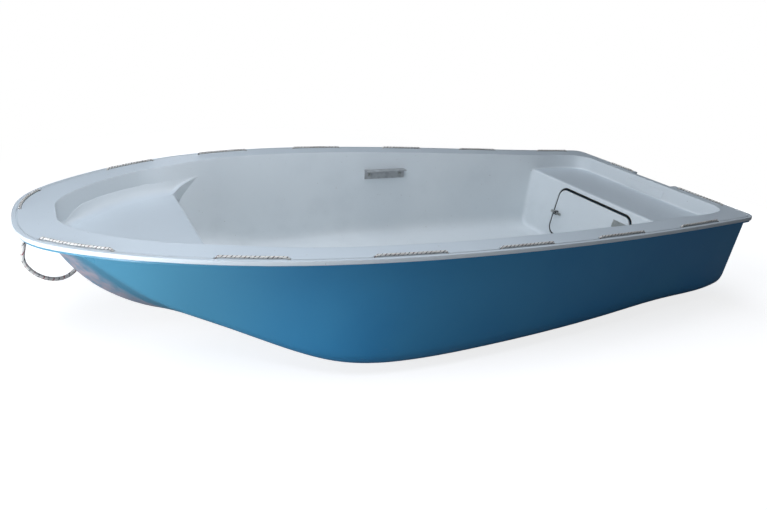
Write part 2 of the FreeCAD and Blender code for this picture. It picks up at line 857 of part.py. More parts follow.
def level_edges(shape, height, test):
    """Edges of a shape that lie at one height and pass a test on their box."""
    found = []
    for edge in shape.Edges:
        box = edge.BoundBox
        if abs(box.ZMin - height) < size("fit_gap") and abs(box.ZMax - height) < size("fit_gap"):
            if test(box):
                found.append(edge)
    return found


def tub(wall):
    """The hollow that people sit in: cockpit, bow well and the space over the stern seat."""
    return tub_body(wall).cut(bow_block(wall)).cut(stern_block(wall))


def soft_tub():
    """The same hollow as the eye sees it, with its fillets."""
    bow = size("bow_seat_height")
    stern = size("stern_seat_height")
    front = HALF_LENGTH - size("bow_flange") - size("bow_shelf_fillet")
    shape = tub(0.0)
    foot = []
    for edge in shape.Edges:
        box = edge.BoundBox
        if box.XMin > FACE_TOP_X - SKIN and box.XMax < 0 and box.ZMax < stern + SKIN:
            if box.ZMin < stern - OVERRUN and box.ZMax - box.ZMin > OVERRUN:
                foot.append(edge)
    shape = shape.makeFillet(size("seat_foot_fillet"), foot)
    shape = shape.makeFillet(
        size("bow_edge_fillet"), level_edges(shape, bow, lambda box: box.XMax < front))
    shape = shape.makeFillet(
        size("bow_wall_fillet"), level_edges(shape, bow, lambda box: box.XMax > front))
    return shape.makeFillet(size("seat_fillet"), level_edges(shape, stern, lambda box: True))


def groove_tool():
    """The shallow groove that sets the bead apart from the flange."""
    bead = size("bead_width")
    ring = rim_prism(bead).cut(rim_prism(bead + size("groove_width")))
    return ring.cut(below_sheer(size("groove_depth")))


def make_liner():
    """The white moulding: flange with its lip, walls, seats and sole in one piece."""
    skin = size("liner_skin")
    block = rim_prism(0.0).common(below_sheer(0.0))
    void = rim_prism(size("lip_skin")).common(below_sheer(skin))
    void = void.fuse(below_sheer(size("lip_depth"))).cut(tub(skin))
    solid = block.cut(void).cut(soft_tub()).cut(notch_tool(0.0)).cut(door_opening())
    return solid.cut(groove_tool()).cut(lacing_holes()).removeSplitter()


hull = feature("hull_shell", make_hull())
liner = feature("deck_liner", make_liner())
ropes = [feature(name, make_lacing(shares)) for name, shares in LACING_SHARES.items()]
bow_rope = feature("bow_rope", make_rope(bow_rope_route(), size("bow_rope_diameter")))


# Locker door, its seal, hinges and latch

def formula_value(formula):
    """Work out a formula over the sheet's sizes."""
    return float(sheet.evalExpression(formula))


def bind(item, **formulas):
    """Bind an object's properties to formulas over the sheet's cells."""
    for name, formula in formulas.items():
        item.setExpression(name, formula)


def new_body(name, placement):
    """An empty body with its name and its place."""
    body = doc.addObject("PartDesign::Body", name)
    body.Label = name
    body.Placement = placement
    return body


def new_sketch(body, role, name):
    """An empty sketch on one of a body's own origin planes."""
    drawing = body.newObject("Sketcher::SketchObject", name)
    planes = [plane for plane in body.Origin.OriginFeatures if plane.Role == role]
    drawing.AttachmentSupport = [(planes[0], "")]
    drawing.MapMode = "FlatFace"
    return drawing


def dimension(drawing, constraint, formula):
    """Add one dimension to a sketch and bind it to a formula."""
    index = drawing.addConstraint(constraint)
    drawing.setExpression("Constraints[%d]" % index, formula)


def draw_rounded_rectangle(drawing, width, height, radius):
    """Draw a centred rectangle with rounded corners, its three sizes given as formulas."""
    half_w = formula_value(width) / 2
    half_h = formula_value(height) / 2
    turn = formula_value(radius)
    inner_w = half_w - turn
    inner_h = half_h - turn
    corners = ((inner_w, -inner_h, -90), (inner_w, inner_h, 0), (-inner_w, inner_h, 90),
               (-inner_w, -inner_h, 180))
    sides = (
        ((-inner_w, -half_h), (inner_w, -half_h)), ((half_w, -inner_h), (half_w, inner_h)),
        ((inner_w, half_h), (-inner_w, half_h)), ((-half_w, inner_h), (-half_w, -inner_h)),
    )
    first = drawing.GeometryCount
    for (x, y, start), (begin, end) in zip(corners, sides):
        drawing.addGeometry(Part.LineSegment(Vector(*begin, 0), Vector(*end, 0)), False)
        circle = Part.Circle(Vector(x, y, 0), UP, turn)
        arc = Part.ArcOfCircle(circle, math.radians(start), math.radians(start + 90))
        drawing.addGeometry(arc, False)
    for step in range(8):
        following = first + (step + 1) % 8
        drawing.addConstraint(Sketcher.Constraint("Tangent", first + step, 2, following, 1))
    for side in (0, 4):
        drawing.addConstraint(Sketcher.Constraint("Horizontal", first + side))
        drawing.addConstraint(Sketcher.Constraint("Vertical", first + side + 2))
        if side:
            drawing.addConstraint(Sketcher.Constraint("Equal", first + 1, first + side + 1))
        drawing.addConstraint(Sketcher.Constraint("Equal", first + 1, first + side + 3))
    drawing.addConstraint(Sketcher.Constraint("Symmetric", first + 1, 3, first + 5, 3, -1, 1))
    dimension(drawing, Sketcher.Constraint("DistanceX", first + 6, 1, first + 2, 1, 2 * half_w), width)
    dimension(drawing, Sketcher.Constraint("DistanceY", first, 1, first + 4, 1, 2 * half_h), height)
    dimension(drawing, Sketcher.Constraint("Radius", first + 1, turn), radius)


def draw_polygon(drawing, corners):
    """Draw a closed polygon, each corner given as two formulas or None for zero."""
    spots = []
    for across, along in corners:
        x = formula_value(across) if across else 0.0
        y = formula_value(along) if along else 0.0
        spots.append(Vector(x, y, 0))
    count = len(spots)
    for number in range(count):
        drawing.addGeometry(Part.LineSegment(spots[number], spots[(number + 1) % count]), False)
    for number, (across, along) in enumerate(corners):
        before = (number - 1) % count
        drawing.addConstraint(Sketcher.Constraint("Coincident", before, 2, number, 1))
        spot = spots[number]
        if across:
            dimension(drawing, Sketcher.Constraint("DistanceX", -1, 1, number, 1, spot.x), across)
        else:
            drawing.addConstraint(Sketcher.Constraint("PointOnObject", number, 1, -2))
        if along:
            dimension(drawing, Sketcher.Constraint("DistanceY", -1, 1, number, 1, spot.y), along)
        else:
            drawing.addConstraint(Sketcher.Constraint("PointOnObject", number, 1, -1))


def pad(body, drawing, name, depth, reverse=False, both_ways=False):
    """Pad a sketch by a formula."""
    item = body.newObject("PartDesign::Pad", name)
    item.Profile = drawing
    bind(item, Length=depth)
    item.Reversed = reverse
    item.Midplane = both_ways
    return item


def add_box(body, name, corner, length, width, height):
    """Add a box to a body; its corner is a vector and its sizes are formulas."""
    item = body.newObject("PartDesign::AdditiveBox", name)
    bind(item, Length=length, Width=width, Height=height)
    item.Placement = FreeCAD.Placement(corner, FreeCAD.Rotation())
    return item


def cylinder(body, kind, name, start, axis, radius, height):
    """Add or cut a cylinder; its start and axis are vectors and its sizes are formulas."""
    item = body.newObject("PartDesign::%sCylinder" % kind, name)
    bind(item, Radius=radius, Height=height)
    item.Placement = FreeCAD.Placement(start, FreeCAD.Rotation(UP, axis))
    return item


def make_door():
    """The lid of the locker, a flat plate with rounded corners."""
    body = new_body("locker_door_panel", face_place(0.0, 0.0, size("door_proud")))
    drawing = new_sketch(body, "XY_Plane", "door_outline")
    draw_rounded_rectangle(drawing, "Sizes.door_width", "Sizes.door_height", "Sizes.door_corner_radius")
    pad(body, drawing, "door_plate", "Sizes.door_thickness", reverse=True)
    return body


def make_seal():
    """The black rubber frame that is pressed into the opening."""
    body = new_body("door_seal", face_place(0.0, 0.0, -size("seal_recess")))
    drawing = new_sketch(body, "XY_Plane", "seal_outline")
    for margin in ("Sizes.door_clearance", "Sizes.door_clearance + Sizes.seal_width"):
        draw_rounded_rectangle(
            drawing,
            "Sizes.door_width + 2 * (%s)" % margin,
            "Sizes.door_height + 2 * (%s)" % margin,
            "Sizes.door_corner_radius + %s" % margin,
        )
    pad(body, drawing, "seal_ring", "Sizes.seal_depth", reverse=True)
    return body


HINGE_RIGHT = size("door_width") / 2 + size("door_clearance") + size("hinge_axis_inset")
HINGE_RISE = size("hinge_knuckle_diameter") / 2 + size("fit_gap")
HINGE_OUT = HINGE_RISE + size("door_proud")
HINGE_LENGTH = size("hinge_length")
KNUCKLE_MIDDLE = HINGE_LENGTH / 3
ALONG = Vector(0, 1, 0)


def hinge_place(level):
    """Placement of a hinge: origin on the pin's middle, Y along the pin, Z out of the face."""
    up = level * (size("door_height") / 2 - size("hinge_inset"))
    return face_place(HINGE_RIGHT, up, HINGE_OUT)


def make_leaf(name, level, side):
    """One leaf of a hinge: side 1 is screwed to the seat's face, side -1 to the door."""
    body = new_body(name, hinge_place(level))
    on_frame = side > 0
    reach = "Sizes.hinge_frame_reach" if on_frame else "Sizes.hinge_door_reach"
    start = size("hinge_knuckle_diameter") / 2 + 2 * size("knuckle_gap")
    far = formula_value(reach)
    low = -HINGE_LENGTH / 2
    foot = -HINGE_OUT if on_frame else -HINGE_RISE
    corner = Vector(start if on_frame else -far, low, foot)
    plate_length = "%s - Sizes.hinge_knuckle_diameter / 2 - 2 * Sizes.knuckle_gap" % reach
    add_box(body, name + "_plate", corner, plate_length, "Sizes.hinge_length", "Sizes.hinge_leaf_skin")
    if on_frame:
        length = "Sizes.hinge_length / 3 - Sizes.knuckle_gap"
        starts = (low, KNUCKLE_MIDDLE / 2 + size("knuckle_gap"))
    else:
        length = "Sizes.hinge_length / 3"
        starts = (-KNUCKLE_MIDDLE / 2,)
    width = "Sizes.hinge_knuckle_diameter / 2 + 3 * Sizes.knuckle_gap"
    rise = "Sizes.hinge_knuckle_diameter / 2 + Sizes.door_proud" if on_frame else "Sizes.hinge_leaf_skin"
    for number, begin in enumerate(starts):
        tab = Vector(0.0 if on_frame else -formula_value(width), begin, foot)
        add_box(body, "%s_tab_%d" % (name, number), tab, width, length, rise)
        knuckle = "%s_knuckle_%d" % (name, number)
        cylinder(body, "Additive", knuckle, Vector(0, begin, 0), ALONG,
                 "Sizes.hinge_knuckle_diameter / 2", length)
    bore = Vector(0, -HINGE_LENGTH, 0)
    cylinder(body, "Subtractive", name + "_bore", bore, ALONG,
             "Sizes.hinge_pin_diameter / 2 + Sizes.fit_gap / 2", "2 * Sizes.hinge_length")
    inset = size("hinge_screw_inset")
    first = (start + far) / 2 if on_frame else far - inset
    holes = [(first, HINGE_LENGTH / 4), (first, -HINGE_LENGTH / 4)] if on_frame else [
        (first, 0.0), (first - size("hinge_screw_pitch"), 0.0)]
    for number, (across, along) in enumerate(holes):
        spot = Vector(side * across, along, foot - size("hinge_leaf_skin"))
        cylinder(body, "Subtractive", "%s_hole_%d" % (name, number), spot, UP,
                 "Sizes.screw_diameter / 2", "2 * Sizes.hinge_knuckle_diameter")
    return body


def make_pin(name, level):
    """The pin of one hinge."""
    body = new_body(name, hinge_place(level))
    start = Vector(0, -HINGE_LENGTH / 2, 0)
    cylinder(body, "Additive", name + "_rod", start, ALONG, "Sizes.hinge_pin_diameter / 2",
             "Sizes.hinge_length")
    return body


def make_latch():
    """The lock's barrel with its padlock eye, and the tongue that reaches over the gap."""
    right = size("latch_inset") - size("door_width") / 2
    up = size("door_height") / 2 - size("latch_drop")
    depth = size("latch_depth")
    proud = size("door_proud")
    barrel = new_body("latch_barrel", face_place(right, up, proud))
    cylinder(barrel, "Additive", "latch_round", Vector(0, 0, 0), UP, "Sizes.latch_diameter / 2",
             "Sizes.latch_depth")
    top = depth + size("tongue_skin")
    cylinder(barrel, "Additive", "latch_stem", Vector(0, 0, 0), UP, "Sizes.latch_stem_diameter / 2",
             "Sizes.latch_depth + Sizes.tongue_skin")
    eye = barrel.newObject("PartDesign::AdditiveTorus", "latch_eye")
    bind(eye, Radius1="Sizes.latch_eye_diameter / 2", Radius2="Sizes.latch_eye_wire / 2")
    eye.Placement = FreeCAD.Placement(
        Vector(0, 0, top + size("latch_eye_diameter") / 2), FreeCAD.Rotation(UP, Vector(1, 0, 0)))
    tongue = new_body("latch_tongue", face_place(right, up, proud + depth))
    drawing = new_sketch(tongue, "XY_Plane", "tongue_outline")
    draw_rounded_rectangle(
        drawing, "Sizes.tongue_length", "Sizes.tongue_width", "Sizes.tongue_width / 2 - Sizes.fit_gap")
    pad(tongue, drawing, "tongue_plate", "Sizes.tongue_skin")
    cylinder(tongue, "Subtractive", "tongue_bore", Vector(0, 0, -depth), UP,
             "Sizes.latch_stem_diameter / 2 + Sizes.fit_gap / 2", "2 * Sizes.latch_depth")
    return [barrel, tongue]


# Brackets for the thwart

def wall_breadth(x, z):
    """Half-breadth of the cockpit's inner wall at a place and height, measured on the moulding."""
    ray = Part.makeLine(Vector(x, 0, z), Vector(x, HALF_BEAM, z))
    hits = liner.Shape.common(ray)
    return min(vertex.Point.y for vertex in hits.Vertexes)


def make_bracket(name, side):
    """One angle bracket, bolted to the wall, that carried an end of the thwart."""
    length = size("bracket_length")
    centre = size("bracket_station")
    top = size("bracket_top")
    low = top - size("bracket_height")
    forward = wall_breadth(centre + length / 2, top)
    back = wall_breadth(centre - length / 2, top)
    foot = wall_breadth(centre - length / 2, low)
    yaw = math.atan2(forward - back, length)
    lean = math.degrees(math.atan2((back - foot) * math.cos(yaw), size("bracket_height")))
    along = Vector(math.cos(yaw), side * math.sin(yaw), 0)
    inboard = Vector(math.sin(yaw), -side * math.cos(yaw), 0)
    middle = Vector(centre, side * (forward + back) / 2, top) + inboard * size("fit_gap")
    third = along.cross(inboard)
    turn = FreeCAD.Rotation(along, inboard, third, "ZXY")
    upwards = third.z
    body = new_body(name, FreeCAD.Placement(middle, turn))
    drawing = new_sketch(body, "YZ_Plane", name + "_outline")
    shift = math.tan(math.radians(lean))
    drop = "%d * Sizes.bracket_height" % (-upwards)
    draw_polygon(drawing, (
        (None, None),
        ("Sizes.bracket_ledge", None),
        ("Sizes.bracket_ledge", "%d * Sizes.bracket_skin" % -upwards),
        ("Sizes.bracket_skin + Sizes.bracket_skin * %.6f" % shift,
         "%d * Sizes.bracket_skin" % -upwards),
        ("Sizes.bracket_skin + Sizes.bracket_height * %.6f" % shift, drop),
        ("Sizes.bracket_height * %.6f" % shift, drop),
    ))
    pad(body, drawing, name + "_angle", "Sizes.bracket_length", both_ways=True)
    for number, spot in enumerate((-1, 1)):
        start = Vector(
            spot * (length / 2 - size("bolt_inset")), -size("bracket_ledge"),
            -upwards * size("bolt_drop"),
        )
        cylinder(body, "Subtractive", "%s_hole_%d" % (name, number), start, ALONG,
                 "Sizes.bolt_diameter / 2", "2 * Sizes.bracket_ledge")
    return body


pieces = [hull, liner] + ropes + [bow_rope, make_door(), make_seal()]
for level_name, level in (("upper", 1), ("lower", -1)):
    pieces.append(make_leaf("hinge_%s_frame_leaf" % level_name, level, 1))
    pieces.append(make_leaf("hinge_%s_door_leaf" % level_name, level, -1))
    pieces.append(make_pin("hinge_%s_pin" % level_name, level))
pieces.extend(make_latch())
pieces.append(make_bracket("thwart_bracket_port", 1))
pieces.append(make_bracket("thwart_bracket_starboard", -1))


# Checks and export

doc.recompute()
for item in doc.Objects:
    for flaw in ("Invalid", "Error"):
        if flaw in item.State:
            raise RuntimeError("%s is %s" % (item.Label, flaw.lower()))
for piece in pieces:
    if piece.Shape.isNull():
        raise RuntimeError("%s has no shape" % piece.Label)
    if not piece.Shape.isValid():
        raise RuntimeError("%s is not valid" % piece.Label)
os.makedirs("parts", exist_ok=True)
for piece in pieces:
    piece.Shape.exportStep("parts/%s.step" % piece.Label)
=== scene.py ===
"""A small glass-fibre rowing dinghy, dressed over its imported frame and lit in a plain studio."""
import json
import logging
import math
from dataclasses import dataclass, field
from enum import Enum

import bmesh
import bpy
from mathutils import Matrix, Vector


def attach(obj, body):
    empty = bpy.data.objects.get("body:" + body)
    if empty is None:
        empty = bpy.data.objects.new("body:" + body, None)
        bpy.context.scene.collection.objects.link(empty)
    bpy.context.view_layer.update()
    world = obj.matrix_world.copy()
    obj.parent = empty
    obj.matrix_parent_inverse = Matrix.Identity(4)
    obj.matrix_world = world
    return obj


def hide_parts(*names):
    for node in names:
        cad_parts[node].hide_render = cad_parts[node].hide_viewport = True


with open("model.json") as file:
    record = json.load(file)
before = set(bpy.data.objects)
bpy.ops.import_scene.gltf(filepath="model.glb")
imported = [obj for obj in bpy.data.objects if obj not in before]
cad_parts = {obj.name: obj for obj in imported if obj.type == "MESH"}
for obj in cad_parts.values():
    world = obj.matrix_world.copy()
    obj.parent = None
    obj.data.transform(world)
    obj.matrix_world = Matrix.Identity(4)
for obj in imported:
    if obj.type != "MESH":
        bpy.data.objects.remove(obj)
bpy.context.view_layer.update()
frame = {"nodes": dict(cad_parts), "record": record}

logging.basicConfig(level=logging.INFO, format="%(message)s")
log = logging.getLogger("dinghy")

MM = 0.001
SIDES = ((1, "port"), (-1, "starboard"))

Colour = tuple[float, float, float, float]


class Body(str, Enum):
    """The bodies that pieces ride on."""

    HULL = "hull"
    DOOR = "locker_door"


def linear(colour: str) -> Colour:
    """Turn an sRGB hex colour into linear light.

    Args:
        colour: Six hex digits after a hash sign.

    Returns:
        Red, green, blue and an alpha of one.
    """
    channels = [int(colour[at:at + 2], 16) / 255 for at in (1, 3, 5)]
    light = [c / 12.92 if c <= 0.04045 else ((c + 0.055) / 1.055) ** 2.4 for c in channels]
    return (light[0], light[1], light[2], 1.0)


def per_metre(size_mm: float) -> float:
    """Scale of a pattern whose repeat has a real size, for coordinates in metres.

    Args:
        size_mm: Size of one repeat in millimetres.

    Returns:
        The number of repeats in a metre.
    """
    return 1000.0 / size_mm


@dataclass(frozen=True)
class Graph:
    """A tree of shader nodes while it is being put together."""

    tree: bpy.types.NodeTree

    def add(self, kind: str, inputs: dict | None = None, out: int | str = 0,
            **settings: object) -> bpy.types.NodeSocket | None:
        """Add one node with its settings and links.

        Args:
            kind: The node's type, without the word that all shader nodes start with.
            inputs: Values or output sockets, by the input's name or index.
            out: Name or index of the output that is wanted.
            settings: Attributes of the node.

        Returns:
            The wanted output socket, or nothing when the node has no outputs.
        """
        node = self.tree.nodes.new("ShaderNode" + kind)
        for name, value in settings.items():
            setattr(node, name, value)
        for key, value in (inputs or {}).items():
            if isinstance(value, bpy.types.NodeSocket):
                self.tree.links.new(value, node.inputs[key])
            else:
                node.inputs[key].default_value = value
        return node.outputs[out] if node.outputs else None


def start_material(name: str) -> tuple[bpy.types.Material, Graph]:
    """Make an empty material.

    Args:
        name: The material's name.

    Returns:
        The material and its graph.
    """
    material = bpy.data.materials.new(name)
    material.use_nodes = True
    material.node_tree.nodes.clear()
    return material, Graph(material.node_tree)


@dataclass(frozen=True)
class BlueGelcoat:
    """Pigmented polyester gelcoat, brushed into a polished mould.

    It gives the eye a deep clear blue with a soft gloss, made paler and greyer towards the bow as
    painted light falling on the bow, a paler reddish-grey band where the stem has been dragged
    over slipways and faint grey streaks low on the hull. Stations, breadths and heights are in
    metres.
    """

    colour: str = "#2d83b6"
    faded: str = "#378bb9"
    bow_light_tint: str = "#5393a9"
    scuffed: str = "#8d8e90"
    rubbed: str = "#b5a8ae"
    roughness: float = 0.26
    cloud_mm: float = 500.0
    patch_mm: float = 38.0
    streak_mm: float = 7.0
    sheen_mm: float = 160.0
    band_breadths: tuple[float, float] = (0.22, 0.10)
    band_stations: tuple[float, float] = (0.55, 0.95)
    bow_light_stations: tuple[float, float] = (0.35, 1.15)
    streak_heights: tuple[float, float] = (0.16, 0.02)

    def make(self) -> bpy.types.Material:
        """Build the material.

        Returns:
            The finished material.
        """
        material, graph = start_material("blue_gelcoat_moulded")
        place = graph.add("TexCoord", out="Object")
        across = graph.add("SeparateXYZ", {"Vector": place}, "Y")
        along = graph.add("SeparateXYZ", {"Vector": place}, "X")
        height = graph.add("SeparateXYZ", {"Vector": place}, "Z")
        clouds = graph.add("TexNoise", {"Vector": place, "Scale": per_metre(self.cloud_mm),
                                        "Detail": 4.0})
        clouds = graph.add("MapRange", {"Value": clouds, "From Min": 0.35, "From Max": 0.70},
                           interpolation_type="SMOOTHSTEP")
        base = graph.add("Mix", {0: clouds, 6: linear(self.colour), 7: linear(self.faded)}, 2,
                         data_type="RGBA")
        away = graph.add("Math", {0: across}, operation="ABSOLUTE")
        stem = graph.add("MapRange", {"Value": away, "From Min": self.band_breadths[0],
                                      "From Max": self.band_breadths[1]},
                         interpolation_type="SMOOTHSTEP")
        ahead = graph.add("MapRange", {"Value": along, "From Min": self.band_stations[0],
                                       "From Max": self.band_stations[1]})
        # Painted light: the hull is mixed paler and greyer towards the bow, standing in for the
        # light that falls there.
        bow_lit = graph.add("MapRange", {"Value": along, "From Min": self.bow_light_stations[0],
                                         "From Max": self.bow_light_stations[1], "To Max": 0.8},
                            interpolation_type="SMOOTHSTEP")
        base = graph.add("Mix", {0: bow_lit, 6: base, 7: linear(self.bow_light_tint)}, 2,
                         data_type="RGBA")
        band = graph.add("Math", {0: stem, 1: ahead}, operation="MULTIPLY")
        patch = graph.add("TexNoise", {"Vector": place, "Scale": per_metre(self.patch_mm),
                                       "Detail": 7.0, "Roughness": 0.68})
        patch = graph.add("MapRange", {"Value": patch, "From Min": 0.34, "From Max": 0.58})
        rubbed = graph.add("Math", {0: band, 1: patch}, operation="MULTIPLY")
        base = graph.add("Mix", {0: rubbed, 6: base, 7: linear(self.rubbed)}, 2, data_type="RGBA")
        streaks = graph.add("Mapping", {"Vector": place, "Scale": (0.05, 1.0, 1.0)})
        streaks = graph.add("TexNoise", {"Vector": streaks, "Scale": per_metre(self.streak_mm),
                                         "Detail": 6.0, "Roughness": 0.7})
        streaks = graph.add("MapRange", {"Value": streaks, "From Min": 0.62, "From Max": 0.72})
        low = graph.add("MapRange", {"Value": height, "From Min": self.streak_heights[0],
                                     "From Max": self.streak_heights[1]})
        worn = graph.add("Math", {0: streaks, 1: low}, operation="MULTIPLY")
        worn = graph.add("Math", {0: worn, 1: 0.5}, operation="MULTIPLY")
        base = graph.add("Mix", {0: worn, 6: base, 7: linear(self.scuffed)}, 2, data_type="RGBA")
        sheen = graph.add("TexNoise", {"Vector": place, "Scale": per_metre(self.sheen_mm),
                                       "Detail": 2.0})
        rough = graph.add("MapRange", {"Value": sheen, "To Min": self.roughness - 0.03,
                                       "To Max": self.roughness + 0.13})
        rough = graph.add("Mix", {0: rubbed, 2: rough, 3: 0.6}, 0, data_type="FLOAT")
        shader = graph.add("BsdfPrincipled", {
            "Base Color": base, "Roughness": rough, "IOR": 1.5, "Coat Weight": 0.3,
            "Coat Roughness": 0.1})
        graph.add("OutputMaterial", {"Surface": shader})
        return material


@dataclass(frozen=True)
class WhiteGelcoat:
    """White gelcoat on a hand-laid moulding, some seasons old.

    It gives the eye a slightly cool white with a weak sheen, a painted blue-grey sky tint on the
    level parts above the sole, a faint traffic film that grows towards the sole and a few small
    brown specks. Heights are in metres.
    """

    colour: str = "#dbe2e5"
    chalk: str = "#e1e7e9"
    sky_tint: str = "#b3c0c9"
    film: str = "#aab2b6"
    speck: str = "#7d7365"
    roughness: float = 0.36
    edge_mm: float = 5.0
    cloud_mm: float = 600.0
    film_mm: float = 240.0
    speck_mm: float = 9.0
    sheen_mm: float = 140.0
    wave_mm: float = 180.0
    wave_depth_mm: float = 0.5
    level_facings: tuple[float, float] = (0.6, 0.98)
    level_heights: tuple[float, float] = (0.2, 0.34)
    film_heights: tuple[float, float] = (0.42, 0.08)

    def make(self) -> bpy.types.Material:
        """Build the material.

        Returns:
            The finished material.
        """
        material, graph = start_material("white_gelcoat_weathered")
        place = graph.add("TexCoord", out="Object")
        height = graph.add("SeparateXYZ", {"Vector": place}, "Z")
        clouds = graph.add("TexNoise", {"Vector": place, "Scale": per_metre(self.cloud_mm),
                                        "Detail": 3.0})
        clouds = graph.add("MapRange", {"Value": clouds, "From Min": 0.3, "From Max": 0.7},
                           interpolation_type="SMOOTHSTEP")
        base = graph.add("Mix", {0: clouds, 6: linear(self.colour), 7: linear(self.chalk)}, 2,
                         data_type="RGBA")
        # Painted sky light: parts above the sole that face upwards are tinted blue-grey, as the sky
        # would light them.
        facing = graph.add("TexCoord", out="Normal")
        level = graph.add("SeparateXYZ", {"Vector": facing}, "Z")
        level = graph.add("MapRange", {"Value": level, "From Min": self.level_facings[0],
                                       "From Max": self.level_facings[1], "To Max": 0.6},
                          interpolation_type="SMOOTHSTEP")
        raised = graph.add("MapRange", {"Value": height, "From Min": self.level_heights[0],
                                        "From Max": self.level_heights[1]})
        level = graph.add("Math", {0: level, 1: raised}, operation="MULTIPLY")
        base = graph.add("Mix", {0: level, 6: base, 7: linear(self.sky_tint)}, 2,
                         data_type="RGBA")
        low = graph.add("MapRange", {"Value": height, "From Min": self.film_heights[0],
                                     "From Max": self.film_heights[1], "To Min": 0.1,
                                     "To Max": 0.3})
        film = graph.add("TexNoise", {"Vector": place, "Scale": per_metre(self.film_mm),
                                      "Detail": 6.0, "Roughness": 0.55})
        film = graph.add("MapRange", {"Value": film, "From Min": 0.45, "From Max": 0.85},
                         interpolation_type="SMOOTHSTEP")
        film = graph.add("Math", {0: film, 1: low}, operation="MULTIPLY")
        base = graph.add("Mix", {0: film, 6: base, 7: linear(self.film)}, 2, data_type="RGBA")
        specks = graph.add("TexNoise", {"Vector": place, "Scale": per_metre(self.speck_mm),
                                        "Detail": 2.0})
        specks = graph.add("MapRange", {"Value": specks, "From Min": 0.74, "From Max": 0.78,
                                        "To Max": 0.5})
        base = graph.add("Mix", {0: specks, 6: base, 7: linear(self.speck)}, 2, data_type="RGBA")
        sheen = graph.add("TexNoise", {"Vector": place, "Scale": per_metre(self.sheen_mm),
                                       "Detail": 5.0})
        rough = graph.add("MapRange", {"Value": sheen, "To Min": self.roughness - 0.05,
                                       "To Max": self.roughness + 0.2})
        soft = graph.add("Bevel", {"Radius": self.edge_mm * MM}, samples=6)
        waves = graph.add("TexNoise", {"Vector": place, "Scale": per_metre(self.wave_mm),
                                       "Detail": 1.0})
        uneven = graph.add("Bump", {"Height": waves, "Strength": 0.08,
                                    "Distance": self.wave_depth_mm * MM, "Normal": soft})
        shader = graph.add("BsdfPrincipled", {
            "Base Color": base, "Roughness": rough, "IOR": 1.5, "Normal": uneven})
        graph.add("OutputMaterial", {"Surface": shader})
        return material


@dataclass(frozen=True)
class BlackRubber:
    """Extruded EPDM rubber.

    It gives the eye a matt black profile with a greyish bloom where dust has settled.
    """

    colour: str = "#131415"
    bloom: str = "#303437"
    dust_mm: float = 22.0
    grain_mm: float = 2.5
    grain_depth_mm: float = 0.1

    def make(self) -> bpy.types.Material:
        """Build the material.

        Returns:
            The finished material.
        """
        material, graph = start_material("epdm_rubber_extruded")
        place = graph.add("TexCoord", out="Object")
        dust = graph.add("TexNoise", {"Vector": place, "Scale": per_metre(self.dust_mm),
                                      "Detail": 5.0})
        dust = graph.add("MapRange", {"Value": dust, "From Min": 0.5, "From Max": 0.8})
        base = graph.add("Mix", {0: dust, 6: linear(self.colour), 7: linear(self.bloom)}, 2,
                         data_type="RGBA")
        grain = graph.add("TexNoise", {"Vector": place, "Scale": per_metre(self.grain_mm),
                                       "Detail": 3.0})
        grain = graph.add("Bump", {"Height": grain, "Strength": 0.2,
                                   "Distance": self.grain_depth_mm * MM})
        shader = graph.add("BsdfPrincipled", {
            "Base Color": base, "Roughness": 0.72, "IOR": 1.52, "Normal": grain})
        graph.add("OutputMaterial", {"Surface": shader})
        return material


@dataclass(frozen=True)
class StainlessSteel:
    """Pressed and brushed stainless steel near salt water.

    It gives the eye a grey metal with fine brushing and tea-coloured spots.
    """

    colour: str = "#b9bab6"
    tea: str = "#8d7358"
    spot_mm: float = 9.0
    brush_mm: float = 1.6
    brush_depth_mm: float = 0.05

    def make(self) -> bpy.types.Material:
        """Build the material.

        Returns:
            The finished material.
        """
        material, graph = start_material("stainless_steel_brushed")
        place = graph.add("TexCoord", out="Object")
        spots = graph.add("TexNoise", {"Vector": place, "Scale": per_metre(self.spot_mm),
                                       "Detail": 5.0, "Roughness": 0.6})
        spots = graph.add("MapRange", {"Value": spots, "From Min": 0.62, "From Max": 0.8,
                                       "To Max": 0.6})
        base = graph.add("Mix", {0: spots, 6: linear(self.colour), 7: linear(self.tea)}, 2,
                         data_type="RGBA")
        lines = graph.add("Mapping", {"Vector": place, "Scale": (1.0, 0.05, 1.0)})
        lines = graph.add("TexNoise", {"Vector": lines, "Scale": per_metre(self.brush_mm),
                                       "Detail": 4.0, "Roughness": 0.7})
        rough = graph.add("MapRange", {"Value": lines, "From Min": 0.3, "From Max": 0.7,
                                       "To Min": 0.24, "To Max": 0.42})
        relief = graph.add("Bump", {"Height": lines, "Strength": 0.15,
                                    "Distance": self.brush_depth_mm * MM})
        shader = graph.add("BsdfPrincipled", {
            "Base Color": base, "Metallic": 1.0, "Roughness": rough, "Normal": relief})
        graph.add("OutputMaterial", {"Surface": shader})
        return material


